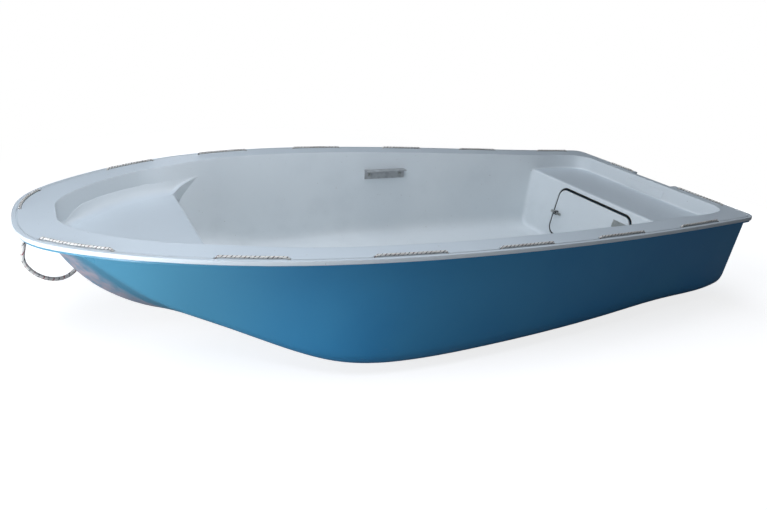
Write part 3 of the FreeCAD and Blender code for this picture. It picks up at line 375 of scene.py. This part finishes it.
@dataclass(frozen=True)
class GreyAlloy:
    """Extruded aluminium angle, left bare.

    It gives the eye a pale dull grey with die lines and a darker oxide film.
    """

    colour: str = "#c9caca"
    oxide: str = "#96979a"
    film_mm: float = 26.0
    line_mm: float = 2.4
    line_depth_mm: float = 0.08

    def make(self) -> bpy.types.Material:
        """Build the material.

        Returns:
            The finished material.
        """
        material, graph = start_material("aluminium_angle_extruded")
        place = graph.add("TexCoord", out="Object")
        film = graph.add("TexNoise", {"Vector": place, "Scale": per_metre(self.film_mm),
                                      "Detail": 6.0})
        film = graph.add("MapRange", {"Value": film, "From Min": 0.42, "From Max": 0.75,
                                      "To Max": 0.7})
        base = graph.add("Mix", {0: film, 6: linear(self.colour), 7: linear(self.oxide)}, 2,
                         data_type="RGBA")
        lines = graph.add("Mapping", {"Vector": place, "Scale": (0.04, 1.0, 1.0)})
        lines = graph.add("TexNoise", {"Vector": lines, "Scale": per_metre(self.line_mm),
                                       "Detail": 3.0, "Roughness": 0.6})
        relief = graph.add("Bump", {"Height": lines, "Strength": 0.2,
                                    "Distance": self.line_depth_mm * MM})
        shader = graph.add("BsdfPrincipled", {
            "Base Color": base, "Metallic": 1.0, "Roughness": 0.48, "Normal": relief})
        graph.add("OutputMaterial", {"Surface": shader})
        return material


@dataclass(frozen=True)
class BlackPlastic:
    """Injection-moulded black nylon.

    It gives the eye a near black with a fine spark-eroded grain and greyed worn spots.
    """

    colour: str = "#17181a"
    worn: str = "#3a3c3e"
    wear_mm: float = 6.0
    grain_mm: float = 1.2
    grain_depth_mm: float = 0.08

    def make(self) -> bpy.types.Material:
        """Build the material.

        Returns:
            The finished material.
        """
        material, graph = start_material("black_nylon_moulded")
        place = graph.add("TexCoord", out="Object")
        wear = graph.add("TexNoise", {"Vector": place, "Scale": per_metre(self.wear_mm),
                                      "Detail": 5.0})
        wear = graph.add("MapRange", {"Value": wear, "From Min": 0.52, "From Max": 0.8})
        base = graph.add("Mix", {0: wear, 6: linear(self.colour), 7: linear(self.worn)}, 2,
                         data_type="RGBA")
        grain = graph.add("TexNoise", {"Vector": place, "Scale": per_metre(self.grain_mm),
                                       "Detail": 3.0})
        grain = graph.add("Bump", {"Height": grain, "Strength": 0.25,
                                   "Distance": self.grain_depth_mm * MM})
        shader = graph.add("BsdfPrincipled", {
            "Base Color": base, "Roughness": 0.45, "IOR": 1.5, "Normal": grain})
        graph.add("OutputMaterial", {"Surface": shader})
        return material


@dataclass(frozen=True)
class BraidedRope:
    """Braided polyester cordage.

    It gives the eye a white braid with dark and red tracer flecks at an even pitch, greyed by
    handling.
    """

    name: str
    pitch_mm: float
    fleck_share: float
    strand_mm: float
    red: str
    colour: str = "#d8d6d0"
    soiled: str = "#b9b5ad"
    dark: str = "#23242c"
    soil_mm: float = 60.0
    wobble_share: float = 0.3
    gap_strands: float = 1.5
    braid_depth_mm: float = 0.6

    def make(self) -> bpy.types.Material:
        """Build the material.

        Returns:
            The finished material.
        """
        material, graph = start_material(self.name)
        place = graph.add("TexCoord", out="Object")
        soil = graph.add("TexNoise", {"Vector": place, "Scale": per_metre(self.soil_mm),
                                      "Detail": 5.0})
        soil = graph.add("MapRange", {"Value": soil, "From Min": 0.4, "From Max": 0.75})
        base = graph.add("Mix", {0: soil, 6: linear(self.colour), 7: linear(self.soiled)}, 2,
                         data_type="RGBA")
        along = graph.add("SeparateXYZ", {"Vector": place}, "X")
        across = graph.add("SeparateXYZ", {"Vector": place}, "Y")
        height = graph.add("SeparateXYZ", {"Vector": place}, "Z")
        across = graph.add("Math", {0: across}, operation="ABSOLUTE")
        run = graph.add("Math", {0: along, 1: across}, operation="SUBTRACT")
        run = graph.add("Math", {0: run, 1: height}, operation="ADD")
        wobble = graph.add("TexNoise", {"Vector": place, "Scale": per_metre(self.pitch_mm / 2)})
        run = graph.add("Math", {0: wobble, 1: self.wobble_share * self.pitch_mm * MM, 2: run},
                        operation="MULTIPLY_ADD")
        turns = graph.add("Math", {0: run, 1: per_metre(self.pitch_mm)}, operation="MULTIPLY")
        turn = graph.add("Math", {0: turns}, operation="FRACT")
        fleck = graph.add("Math", {0: turn, 1: self.fleck_share}, operation="LESS_THAN")
        gaps = graph.add("TexNoise", {
            "Vector": place, "Scale": per_metre(self.strand_mm * self.gap_strands)})
        gaps = graph.add("Math", {0: gaps, 1: 0.46}, operation="GREATER_THAN")
        fleck = graph.add("Math", {0: fleck, 1: gaps}, operation="MULTIPLY")
        pair = graph.add("Math", {0: turns, 1: 0.5}, operation="MULTIPLY")
        pair = graph.add("Math", {0: pair}, operation="FRACT")
        odd = graph.add("Math", {0: pair, 1: 0.5}, operation="GREATER_THAN")
        tracer = graph.add("Mix", {0: odd, 6: linear(self.dark), 7: linear(self.red)}, 2,
                           data_type="RGBA")
        base = graph.add("Mix", {0: fleck, 6: base, 7: tracer}, 2, data_type="RGBA")
        strands = graph.add("TexVoronoi", {"Vector": place, "Scale": per_metre(self.strand_mm)},
                            "Distance")
        braid = graph.add("Bump", {"Height": strands, "Strength": 0.6,
                                   "Distance": self.braid_depth_mm * MM}, invert=True)
        shader = graph.add("BsdfPrincipled", {
            "Base Color": base, "Roughness": 0.75, "IOR": 1.5, "Sheen Weight": 0.2,
            "Normal": braid})
        graph.add("OutputMaterial", {"Surface": shader})
        return material


@dataclass
class Wardrobe:
    """The finishes, each made once, and the CAD nodes that wear them."""

    finishes: dict[str, bpy.types.Material] = field(default_factory=dict)

    def sew(self) -> None:
        """Make every finish."""
        self.finishes = {
            "blue_gelcoat": BlueGelcoat().make(),
            "white_gelcoat": WhiteGelcoat().make(),
            "black_rubber": BlackRubber().make(),
            "stainless": StainlessSteel().make(),
            "grey_alloy": GreyAlloy().make(),
            "black_plastic": BlackPlastic().make(),
            "lacing_rope": BraidedRope("polyester_lacing_braided", 17.0, 0.3, 2.2,
                                       "#4a3035").make(),
            "mooring_rope": BraidedRope("polyester_mooring_braided", 26.0, 0.19, 3.4,
                                        "#8a3034").make(),
        }

    def dress_frame(self) -> None:
        """Give each CAD node the finish that its slot names."""
        slots = {part["node"]: part["material_slot"] for part in frame["record"]["subparts"]}
        for name, node in frame["nodes"].items():
            node.data.materials.clear()
            node.data.materials.append(self.finishes[slots[name]])
            log.info("dressed %s in %s", name, slots[name])


@dataclass
class Rigging:
    """The rope that hangs in a loop at the stem."""

    wardrobe: Wardrobe
    diameter: float = 0.014
    round_steps: int = 5
    length_steps: int = 12
    spline_order: int = 3
    route: tuple[tuple[float, float, float], ...] = (
        (1.4069, -0.0360, 0.4699), (1.4110, -0.0349, 0.4140), (1.4290, -0.0310, 0.3521),
        (1.4380, -0.0300, 0.2990), (1.4061, -0.0300, 0.2510), (1.3600, -0.0380, 0.2200),
        (1.3091, -0.0600, 0.2110), (1.2660, -0.0900, 0.2320), (1.2419, -0.1130, 0.2725),
        (1.2238, -0.1222, 0.3200),
    )

    def hang(self) -> None:
        curve = bpy.data.curves.new("bow_rope_curve", "CURVE")
        curve.dimensions = "3D"
        curve.bevel_depth = self.diameter / 2
        curve.bevel_resolution = self.round_steps
        curve.resolution_u = self.length_steps
        curve.use_fill_caps = True
        spline = curve.splines.new("NURBS")
        spline.points.add(len(self.route) - 1)
        for point, spot in zip(spline.points, self.route):
            point.co = (*spot, 1.0)
        spline.order_u = self.spline_order
        spline.use_endpoint_u = True
        curve.materials.append(self.wardrobe.finishes["mooring_rope"])
        rope = bpy.data.objects.new("bow_rope_braid", curve)
        bpy.context.scene.collection.objects.link(rope)
        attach(rope, Body.HULL.value)
        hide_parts("bow_rope")
        log.info("hung the bow rope")


class Piece:
    """One new piece: its mesh is built in place and its object sits at the origin."""

    MERGE_MM = 0.01
    LEVEL_COSINE = 0.99
    EDGE_STEPS = 3

    def __init__(self, name: str, body: Body, finish: bpy.types.Material) -> None:
        """Start an empty piece.

        Args:
            name: The piece's name.
            body: The body that it rides on.
            finish: Its material.
        """
        self.name = name
        self.body = body
        self.finish = finish
        self.shape = bmesh.new()

    def drum(self, base: Vector, axis: Vector, radii: tuple[float, float], depth: float,
             sides: int, edge: float = 0.0) -> list[bmesh.types.BMFace]:
        """Add a drum or cone that stands on a point.

        Args:
            base: Middle of its foot.
            axis: Way that it points.
            radii: Radius at the foot and at the top.
            depth: Its height.
            sides: Number of its sides.
            edge: Round of the edges at its top.

        Returns:
            The faces at its top, as they were before the edges were rounded.
        """
        turn = axis.to_track_quat("Z", "Y").to_matrix().to_4x4()
        matrix = Matrix.Translation(base + axis.normalized() * depth / 2) @ turn
        made = bmesh.ops.create_cone(self.shape, cap_ends=True, segments=sides, radius1=radii[0],
                                     radius2=radii[1], depth=depth, matrix=matrix)
        faces = dict.fromkeys(face for vert in made["verts"] for face in vert.link_faces)
        top = [face for face in faces if face.normal.dot(axis.normalized()) > self.LEVEL_COSINE]
        if edge > 0:
            rim = [side for face in top for side in face.edges]
            bmesh.ops.bevel(self.shape, geom=rim, offset=edge, offset_type="OFFSET",
                            affect="EDGES", segments=self.EDGE_STEPS, profile=0.5, material=-1)
        return top

    def skin(self, rings: list[list[Vector]]) -> None:
        """Join closed rings of equal length into one closed skin with capped ends.

        Args:
            rings: The rings' points, in order.
        """
        rows = [[self.shape.verts.new(spot) for spot in ring] for ring in rings]
        for row in rows:
            for first, second in zip(row, row[1:] + row[:1]):
                self.shape.edges.new((first, second))
        bmesh.ops.bridge_loops(self.shape, edges=list(self.shape.edges))
        bmesh.ops.holes_fill(self.shape, edges=list(self.shape.edges), sides=0)

    def finish_off(self, smooth_degrees: float = 35.0) -> None:
        """Close the mesh, shade it and let it ride.

        Args:
            smooth_degrees: Edges that turn less than this are shaded smooth.
        """
        bmesh.ops.remove_doubles(self.shape, verts=self.shape.verts, dist=self.MERGE_MM * MM)
        bmesh.ops.recalc_face_normals(self.shape, faces=self.shape.faces)
        for face in self.shape.faces:
            face.smooth = True
        for edge in self.shape.edges:
            turned = edge.calc_face_angle(math.pi) if len(edge.link_faces) == 2 else math.pi
            edge.smooth = turned < math.radians(smooth_degrees)
        mesh = bpy.data.meshes.new(self.name)
        self.shape.to_mesh(mesh)
        self.shape.free()
        mesh.materials.append(self.finish)
        piece = bpy.data.objects.new(self.name, mesh)
        bpy.context.scene.collection.objects.link(piece)
        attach(piece, self.body.value)
        log.info("made %s", self.name)


def strike(node: str, start: Vector, way: Vector) -> tuple[bool, Vector, Vector]:
    """Cast a ray at a CAD node.

    Args:
        node: The node's name.
        start: Where the ray starts.
        way: The way that it goes.

    Returns:
        Whether it strikes, the point that it strikes and the normal there.
    """
    struck, spot, normal, _ = frame["nodes"][node].ray_cast(start, way)
    return struck, spot, normal


@dataclass(frozen=True)
class DoorFace:
    """The leaning plane of the stern seat's face, measured from the door's middle."""

    middle: Vector = Vector((-1.048651, 0.0, 0.213344))
    right: Vector = Vector((0.0, 1.0, 0.0))
    up: Vector = Vector((-0.176826, 0.0, 0.984242))
    out: Vector = Vector((0.984242, 0.0, 0.176826))

    def at(self, right_mm: float, up_mm: float, out_mm: float) -> Vector:
        """Point on the face.

        Args:
            right_mm: Distance towards port.
            up_mm: Distance up the face.
            out_mm: Distance out of the face.

        Returns:
            The point in metres.
        """
        return self.middle + (self.right * right_mm + self.up * up_mm + self.out * out_mm) * MM


@dataclass(frozen=True)
class PanScrew:
    """A pan-head screw with a round socket, in mm."""

    shank_radius: float = 2.3
    shank_sunk: float = 1.5
    shank_depth: float = 1.6
    shank_sides: int = 16
    head_radii: tuple[float, float] = (4.4, 3.2)
    head_gap: float = 0.02
    head_depth: float = 1.7
    head_sides: int = 24
    socket_rim: float = 1.5
    socket_depth: float = 0.9

    def drive(self, piece: Piece, at: Vector, out: Vector) -> None:
        """Add one screw to a piece.

        Args:
            piece: The piece that it belongs to.
            at: Middle of the head's foot.
            out: Way that the head faces.
        """
        shank = (self.shank_radius * MM, self.shank_radius * MM)
        head = (self.head_radii[0] * MM, self.head_radii[1] * MM)
        piece.drum(at - out * self.shank_sunk * MM, out, shank, self.shank_depth * MM,
                   self.shank_sides)
        top = piece.drum(at + out * self.head_gap * MM, out, head, self.head_depth * MM,
                         self.head_sides)
        bmesh.ops.inset_region(piece.shape, faces=top, thickness=self.socket_rim * MM)
        pushed = bmesh.ops.extrude_discrete_faces(piece.shape, faces=top)
        verts = [vert for face in pushed["faces"] for vert in face.verts]
        bmesh.ops.translate(piece.shape, verts=verts, vec=-out * self.socket_depth * MM)


@dataclass(frozen=True)
class HexBolt:
    """A hexagon-head bolt on its washer, in mm."""

    washer_radius: float = 8.0
    washer_gap: float = 0.05
    washer_depth: float = 1.3
    washer_edge: float = 0.3
    washer_sides: int = 32
    head_radius: float = 7.2
    head_gap: float = 1.35
    head_depth: float = 5.0
    head_edge: float = 0.8
    head_sides: int = 6

    def drive(self, piece: Piece, at: Vector, out: Vector) -> None:
        """Add one bolt to a piece.

        Args:
            piece: The piece that it belongs to.
            at: The point on the plate that it passes.
            out: Way that the head faces.
        """
        washer = (self.washer_radius * MM, self.washer_radius * MM)
        head = (self.head_radius * MM, self.head_radius * MM)
        piece.drum(at + out * self.washer_gap * MM, out, washer, self.washer_depth * MM,
                   self.washer_sides, self.washer_edge * MM)
        piece.drum(at + out * self.head_gap * MM, out, head, self.head_depth * MM,
                   self.head_sides, self.head_edge * MM)


@dataclass
class Trim:
    """Screws, bolts and the small mouldings that the solids leave out.

    Hinge places are in mm on the door's face, bolt and panel places in metres.
    """

    wardrobe: Wardrobe
    face: DoorFace = field(default_factory=DoorFace)
    hinge_levels_mm: tuple[float, float] = (66.0, -66.0)
    door_screws_mm: tuple[float, float] = (161.5, 209.5)
    door_leaf_mm: float = 5.8
    frame_screw_mm: float = 271.25
    frame_shifts_mm: tuple[float, float] = (-9.0, 9.0)
    frame_leaf_mm: float = 1.8
    bolt_stations: tuple[float, float] = (-0.2735, -0.1065)
    bolt_shifts: tuple[float, float] = (-0.008, 0.008)
    bolt_breadth: float = 0.50
    bolt_height: float = 0.360
    panel_station: float = -1.25
    panel_heights: tuple[float, ...] = (0.366, 0.380, 0.394, 0.408)
    panel_breadths: tuple[float, ...] = (-0.125, -0.06, 0.0, 0.06, 0.125)
    panel_proud_mm: float = 1.1
    panel_sunk_mm: float = 0.6

    def screws(self) -> None:
        """Put the screws into the hinge leaves."""
        steel = self.wardrobe.finishes["stainless"]
        door = Piece("hinge_screws_door", Body.DOOR, steel)
        frame_side = Piece("hinge_screws_frame", Body.HULL, steel)
        screw = PanScrew()
        for level in self.hinge_levels_mm:
            for right in self.door_screws_mm:
                screw.drive(door, self.face.at(right, level, self.door_leaf_mm), self.face.out)
            for shift in self.frame_shifts_mm:
                at = self.face.at(self.frame_screw_mm, level + shift, self.frame_leaf_mm)
                screw.drive(frame_side, at, self.face.out)
        door.finish_off()
        frame_side.finish_off()

    def bolts(self) -> None:
        """Put the two bolts into each thwart bracket."""
        bolt = HexBolt()
        for side, name in SIDES:
            piece = Piece("bracket_bolts_%s" % name, Body.HULL, self.wardrobe.finishes["stainless"])
            for station in self.bolt_stations:
                spots = []
                normals = []
                for shift in self.bolt_shifts:
                    start = Vector((station + shift, side * self.bolt_breadth, self.bolt_height))
                    struck, spot, normal = strike("thwart_bracket_%s" % name, start,
                                                  Vector((0, side, 0)))
                    if struck:
                        spots.append(spot)
                        normals.append(normal)
                if len(spots) < len(self.bolt_shifts):
                    log.warning("no plate for a bolt at %.3f", station)
                    continue
                out = (normals[0] + normals[1]).normalized()
                if out.y * side > 0:
                    out = -out
                bolt.drive(piece, (spots[0] + spots[1]) / 2, out)
            piece.finish_off()

    def motor_pad(self) -> None:
        """Lay the thin raised panel on the inside of the transom."""
        rings = []
        for height in self.panel_heights:
            front = []
            back = []
            for across in self.panel_breadths:
                start = Vector((self.panel_station, across, height))
                _, spot, normal = strike("deck_liner", start, Vector((-1, 0, 0)))
                front.append(spot + normal * self.panel_proud_mm * MM)
                back.append(spot - normal * self.panel_sunk_mm * MM)
            rings.append(front + back[::-1])
        piece = Piece("motor_pad", Body.HULL, self.wardrobe.finishes["white_gelcoat"])
        piece.skin(rings)
        piece.finish_off()

    def build(self) -> None:
        """Make all the trim."""
        self.screws()
        self.bolts()
        self.motor_pad()


@dataclass
class Fairings:
    """Gelcoat coves that ease the bow seat and the front of its well into the liner's walls.

    Sizes and heights are in mm, the places that rays start from in metres.
    """

    wardrobe: Wardrobe
    # Station, breadth, height of the lower edge and height of the upper edge.
    rows: tuple[tuple[float, ...], ...] = (
        (1290.0, 8.0, 386.0, 405.0), (1262.0, 35.0, 384.8, 420.0), (1225.0, 60.0, 384.8, 430.0),
        (1150.0, 68.0, 384.8, 430.0), (1060.0, 68.0, 384.8, 430.0), (970.0, 66.0, 384.8, 432.0),
        (915.0, 58.0, 384.8, 432.4), (895.0, 53.0, 385.0, 432.8), (880.0, 47.5, 385.6, 433.2),
        (870.0, 42.0, 387.6, 433.5), (860.0, 35.5, 393.0, 433.8), (848.0, 28.5, 400.0, 434.0),
        (828.0, 20.5, 409.5, 434.0), (803.0, 13.0, 417.0, 434.0), (778.0, 6.8, 423.0, 434.0),
        (758.0, 3.2, 427.5, 434.0), (742.0, -1.0, 431.0, 433.5))
    seat: float = 385.0
    shallow: float = 6.0
    clear: float = 3.0
    buried: float = 3.0
    foot_sunk: float = 0.4
    top_sunk: float = 0.3
    pull_share: float = 0.35
    cove_points: int = 6
    smooth_degrees: float = 50.0
    well_levels: tuple[float, ...] = (388.0, 391.0, 395.0, 400.0, 408.0, 417.0, 440.0, 460.0)
    well_cove: float = 32.0
    well_points: int = 9
    front_reach: float = 60.0
    side_reach: float = 70.0
    flange_gap: float = 0.1
    flange_start: tuple[float, float, float] = (1.335, 0.10, 0.6)
    front_start: tuple[float, float] = (1.24, 0.01)
    side_stations: tuple[float, float] = (1.250, 1.275)

    def wall(self, x: float, z: float, side: int) -> Vector:
        """Find the liner's inner wall.

        Args:
            x: Station in metres.
            z: Height in metres.
            side: 1 for port and -1 for starboard.

        Returns:
            The point of the wall at that station and height.
        """
        _, spot, _ = strike("deck_liner", Vector((x, 0.0, z)), Vector((0, side, 0)))
        return spot

    def below(self, spot: Vector) -> Vector:
        """Find what lies straight under a point.

        Args:
            spot: The point, clear of the liner.

        Returns:
            A point just inside the liner's surface under it.
        """
        _, place, normal = strike("deck_liner", spot, Vector((0, 0, -1)))
        return place - normal * self.foot_sunk * MM

    @staticmethod
    def bow_curve(start: Vector, corner: Vector, end: Vector, count: int) -> list[Vector]:
        """Round a corner.

        Args:
            start: Where the round starts.
            corner: The corner that pulls it.
            end: Where the round ends.
            count: Number of its points.

        Returns:
            Points along the round.
        """
        points = []
        for step in range(count):
            share = step / (count - 1)
            points.append(start.lerp(corner, share).lerp(corner.lerp(end, share), share))
        return points

    def seat_cove(self, side: int, name: str) -> None:
        """Ease the seat into the side wall and sweep its end aft along the wall.

        Args:
            side: 1 for port and -1 for starboard.
            name: The piece's name.
        """
        out = Vector((0, side, 0)) * MM
        piece = Piece(name, Body.HULL, self.wardrobe.finishes["white_gelcoat"])
        rings = []
        for station, breadth, low, high in self.rows:
            x = station * MM
            top = self.wall(x, high * MM, side)
            edge = Vector((x, top.y, low * MM)) - out * breadth
            pull = Vector((x, top.y, low * MM)) - out * breadth * self.pull_share
            front = self.bow_curve(edge, pull, top + out * self.top_sunk, self.cove_points)
            back = Vector((x, top.y, (low - self.shallow) * MM)) + out * self.buried
            if low < self.seat + self.clear / 2:
                foot = edge - Vector((0, 0, self.shallow * MM))
            elif breadth > self.clear:
                foot = self.below(edge)
            else:
                foot = self.wall(x, (low - self.shallow) * MM, side) + out * self.foot_sunk
            rings.append(front + [top + out * self.buried, back, foot])
        piece.skin(rings)
        piece.finish_off(self.smooth_degrees)

    def well_ring(self, side: int, level: float) -> list[Vector]:
        """Trace one level of a corner of the bow well.

        Args:
            side: 1 for port and -1 for starboard.
            level: Height of the level.

        Returns:
            The round that is seen and then the points buried in the liner.
        """
        height = max(level, self.seat + self.well_cove) * MM
        start = Vector((self.front_start[0], side * self.front_start[1], height))
        _, ahead, _ = strike("deck_liner", start, Vector((1, 0, 0)))
        near = self.wall(self.side_stations[0], height, side)
        far = self.wall(self.side_stations[1], height, side)
        along = (far - near).normalized()
        corner = near + along * ((ahead.x - near.x) / along.x)
        start = corner - Vector((0, side, 0)) * self.front_reach * MM
        end = corner - along * self.side_reach * MM
        drop = max(self.seat + self.well_cove - level, 0.0)
        shift = self.well_cove - math.sqrt(max(self.well_cove ** 2 - drop ** 2, 0.0))
        shift -= self.foot_sunk
        spots = self.bow_curve(start, corner, end, self.well_points)
        ring = []
        for spot, before, after in zip(spots, spots[:1] + spots, spots[1:] + spots[-1:]):
            way = (after - before).normalized()
            inward = Vector((way.y, -way.x, 0))
            if inward.x > 0:
                inward = -inward
            ring.append(spot + inward * shift * MM)
        ring.append(end + Vector((1, side, 0)) * self.buried * MM)
        ring.append(corner + Vector((1, side, 0)) * self.buried * MM)
        ring.append(start + Vector((1, 0, 0)) * self.buried * MM)
        return [Vector((spot.x, spot.y, level * MM)) for spot in ring]

    def well_corner(self, side: int, name: str) -> None:
        """Round one front corner of the bow well.

        Args:
            side: 1 for port and -1 for starboard.
            name: The piece's name.
        """
        piece = Piece(name, Body.HULL, self.wardrobe.finishes["white_gelcoat"])
        station, breadth, height = self.flange_start
        start = Vector((station, side * breadth, height))
        _, flange, _ = strike("deck_liner", start, Vector((0, 0, -1)))
        levels = self.well_levels + (flange.z / MM - self.flange_gap,)
        piece.skin([self.well_ring(side, level) for level in levels])
        piece.finish_off(self.smooth_degrees)

    def build(self) -> None:
        """Make the coves of both sides."""
        for side, name in SIDES:
            self.seat_cove(side, "seat_cove_%s" % name)
            self.well_corner(side, "well_corner_%s" % name)


@dataclass(frozen=True)
class Lamp:
    """One soft square lamp: place, target and length of a side in metres, power in watts."""

    name: str
    at: tuple[float, float, float]
    target: tuple[float, float, float]
    size: float
    power: float

    def hang(self, colour: str) -> None:
        """Hang the lamp.

        Args:
            colour: The colour of its light.
        """
        data = bpy.data.lights.new(self.name, "AREA")
        data.size = self.size
        data.energy = self.power
        data.color = linear(colour)[:3]
        lamp = bpy.data.objects.new(self.name, data)
        toward = Vector(self.target) - Vector(self.at)
        turn = toward.to_track_quat("-Z", "Y").to_matrix().to_4x4()
        lamp.matrix_world = Matrix.Translation(self.at) @ turn
        bpy.context.scene.collection.objects.link(lamp)


@dataclass
class Studio:
    """A pale sweep, soft lamps and the camera at the photograph's place, in metres."""

    camera_at: tuple[float, float, float] = (1.34, 2.37, 1.295)
    right: tuple[float, float, float] = (-0.89497, 0.43938, 0.07730)
    up: tuple[float, float, float] = (-0.10516, -0.37615, 0.92057)
    ahead: tuple[float, float, float] = (-0.43356, -0.81575, -0.38285)
    lens_mm: float = 31.95
    sensor_mm: float = 36.0
    near_clip: float = 0.05
    light: str = "#f1f6ff"
    lamps: tuple[Lamp, ...] = (
        Lamp("bow_low", (2.9, 0.8, 0.45), (1.1, 0.1, 0.25), 0.8, 38.0),
        Lamp("bow_under", (2.1, 1.0, 0.14), (1.1, 0.1, 0.25), 0.3, 4.5),
        Lamp("top", (0.4, -0.6, 4.0), (0.2, 0.0, 0.2), 3.0, 82.0),
        Lamp("side", (0.9, 3.8, 1.0), (0.1, 0.0, 0.2), 1.5, 17.0),
        Lamp("bow_top", (1.5, 1.0, 2.4), (0.6, 0.0, 0.2), 1.2, 31.0),
        Lamp("stern", (-3.0, -0.6, 0.25), (-0.8, -0.1, 0.2), 0.5, 9.0),
        Lamp("starboard", (0.3, -3.4, 0.5), (0.0, 0.0, 0.2), 0.9, 16.0),
    )
    white: Colour = (1.0, 1.0, 1.0, 1.0)
    floor_reach: float = 30.0
    floor_glow: float = 0.78
    floor_grey: Colour = (0.5, 0.5, 0.5, 1.0)
    floor_bounce: Colour = (0.22, 0.23, 0.24, 1.0)
    floor_fade: tuple[float, float] = (1.9, 3.2)
    sky_colour: str = "#dbe9f7"
    sky_strength: float = 0.05

    def camera(self) -> None:
        """Put the camera where the photograph was taken."""
        data = bpy.data.cameras.new("camera")
        data.lens = self.lens_mm
        data.sensor_width = self.sensor_mm
        data.clip_start = self.near_clip
        camera = bpy.data.objects.new("camera", data)
        turn = Matrix((self.right, self.up, -Vector(self.ahead))).transposed()
        camera.matrix_world = Matrix.Translation(self.camera_at) @ turn.to_4x4()
        bpy.context.scene.collection.objects.link(camera)
        bpy.context.scene.camera = camera

    def floor(self) -> None:
        """Lay a wide pale floor that shows the boat's shadow and throws little light back."""
        shape = bmesh.new()
        bmesh.ops.create_grid(shape, x_segments=1, y_segments=1, size=self.floor_reach)
        mesh = bpy.data.meshes.new("floor")
        shape.to_mesh(mesh)
        shape.free()
        plane = bpy.data.objects.new("floor", mesh)
        bpy.context.scene.collection.objects.link(plane)
        material, graph = start_material("studio_floor")
        seen = graph.add("LightPath", out="Is Camera Ray")
        glow = graph.add("Emission", {"Color": self.white, "Strength": self.floor_glow})
        matt = graph.add("BsdfDiffuse", {"Color": self.floor_grey})
        bright = graph.add("AddShader", {0: glow, 1: matt})
        plain = graph.add("BsdfDiffuse", {"Color": self.floor_bounce})
        place = graph.add("TexCoord", out="Object")
        away = graph.add("VectorMath", {0: place}, "Value", operation="LENGTH")
        far = graph.add("MapRange", {"Value": away, "From Min": self.floor_fade[0],
                                     "From Max": self.floor_fade[1]},
                        interpolation_type="SMOOTHSTEP")
        white = graph.add("Emission", {"Color": self.white, "Strength": 1.0})
        bright = graph.add("MixShader", {0: far, 1: bright, 2: white})
        shader = graph.add("MixShader", {0: seen, 1: plain, 2: bright})
        graph.add("OutputMaterial", {"Surface": shader})
        mesh.materials.append(material)

    def sky(self) -> None:
        """Fill the world with faint even light, white where the camera sees it."""
        world = bpy.data.worlds.new("studio")
        bpy.context.scene.world = world
        world.use_nodes = True
        world.node_tree.nodes.clear()
        graph = Graph(world.node_tree)
        seen = graph.add("LightPath", out="Is Camera Ray")
        light = graph.add("Background", {"Color": linear(self.sky_colour),
                                         "Strength": self.sky_strength})
        white = graph.add("Background", {"Color": self.white, "Strength": 1.0})
        shader = graph.add("MixShader", {0: seen, 1: light, 2: white})
        graph.add("OutputWorld", {"Surface": shader})

    def build(self) -> None:
        """Set up the whole studio."""
        self.camera()
        for lamp in self.lamps:
            lamp.hang(self.light)
        self.floor()
        self.sky()
        bpy.context.scene.view_settings.view_transform = "Standard"
        log.info("studio is ready")


def main() -> None:
    """Build the boat's dressing and the studio round it."""
    studio = Studio()
    studio.build()
    wardrobe = Wardrobe()
    wardrobe.sew()
    Rigging(wardrobe).hang()
    Trim(wardrobe).build()
    Fairings(wardrobe).build()
    wardrobe.dress_frame()


if __name__ == "__main__":
    main()
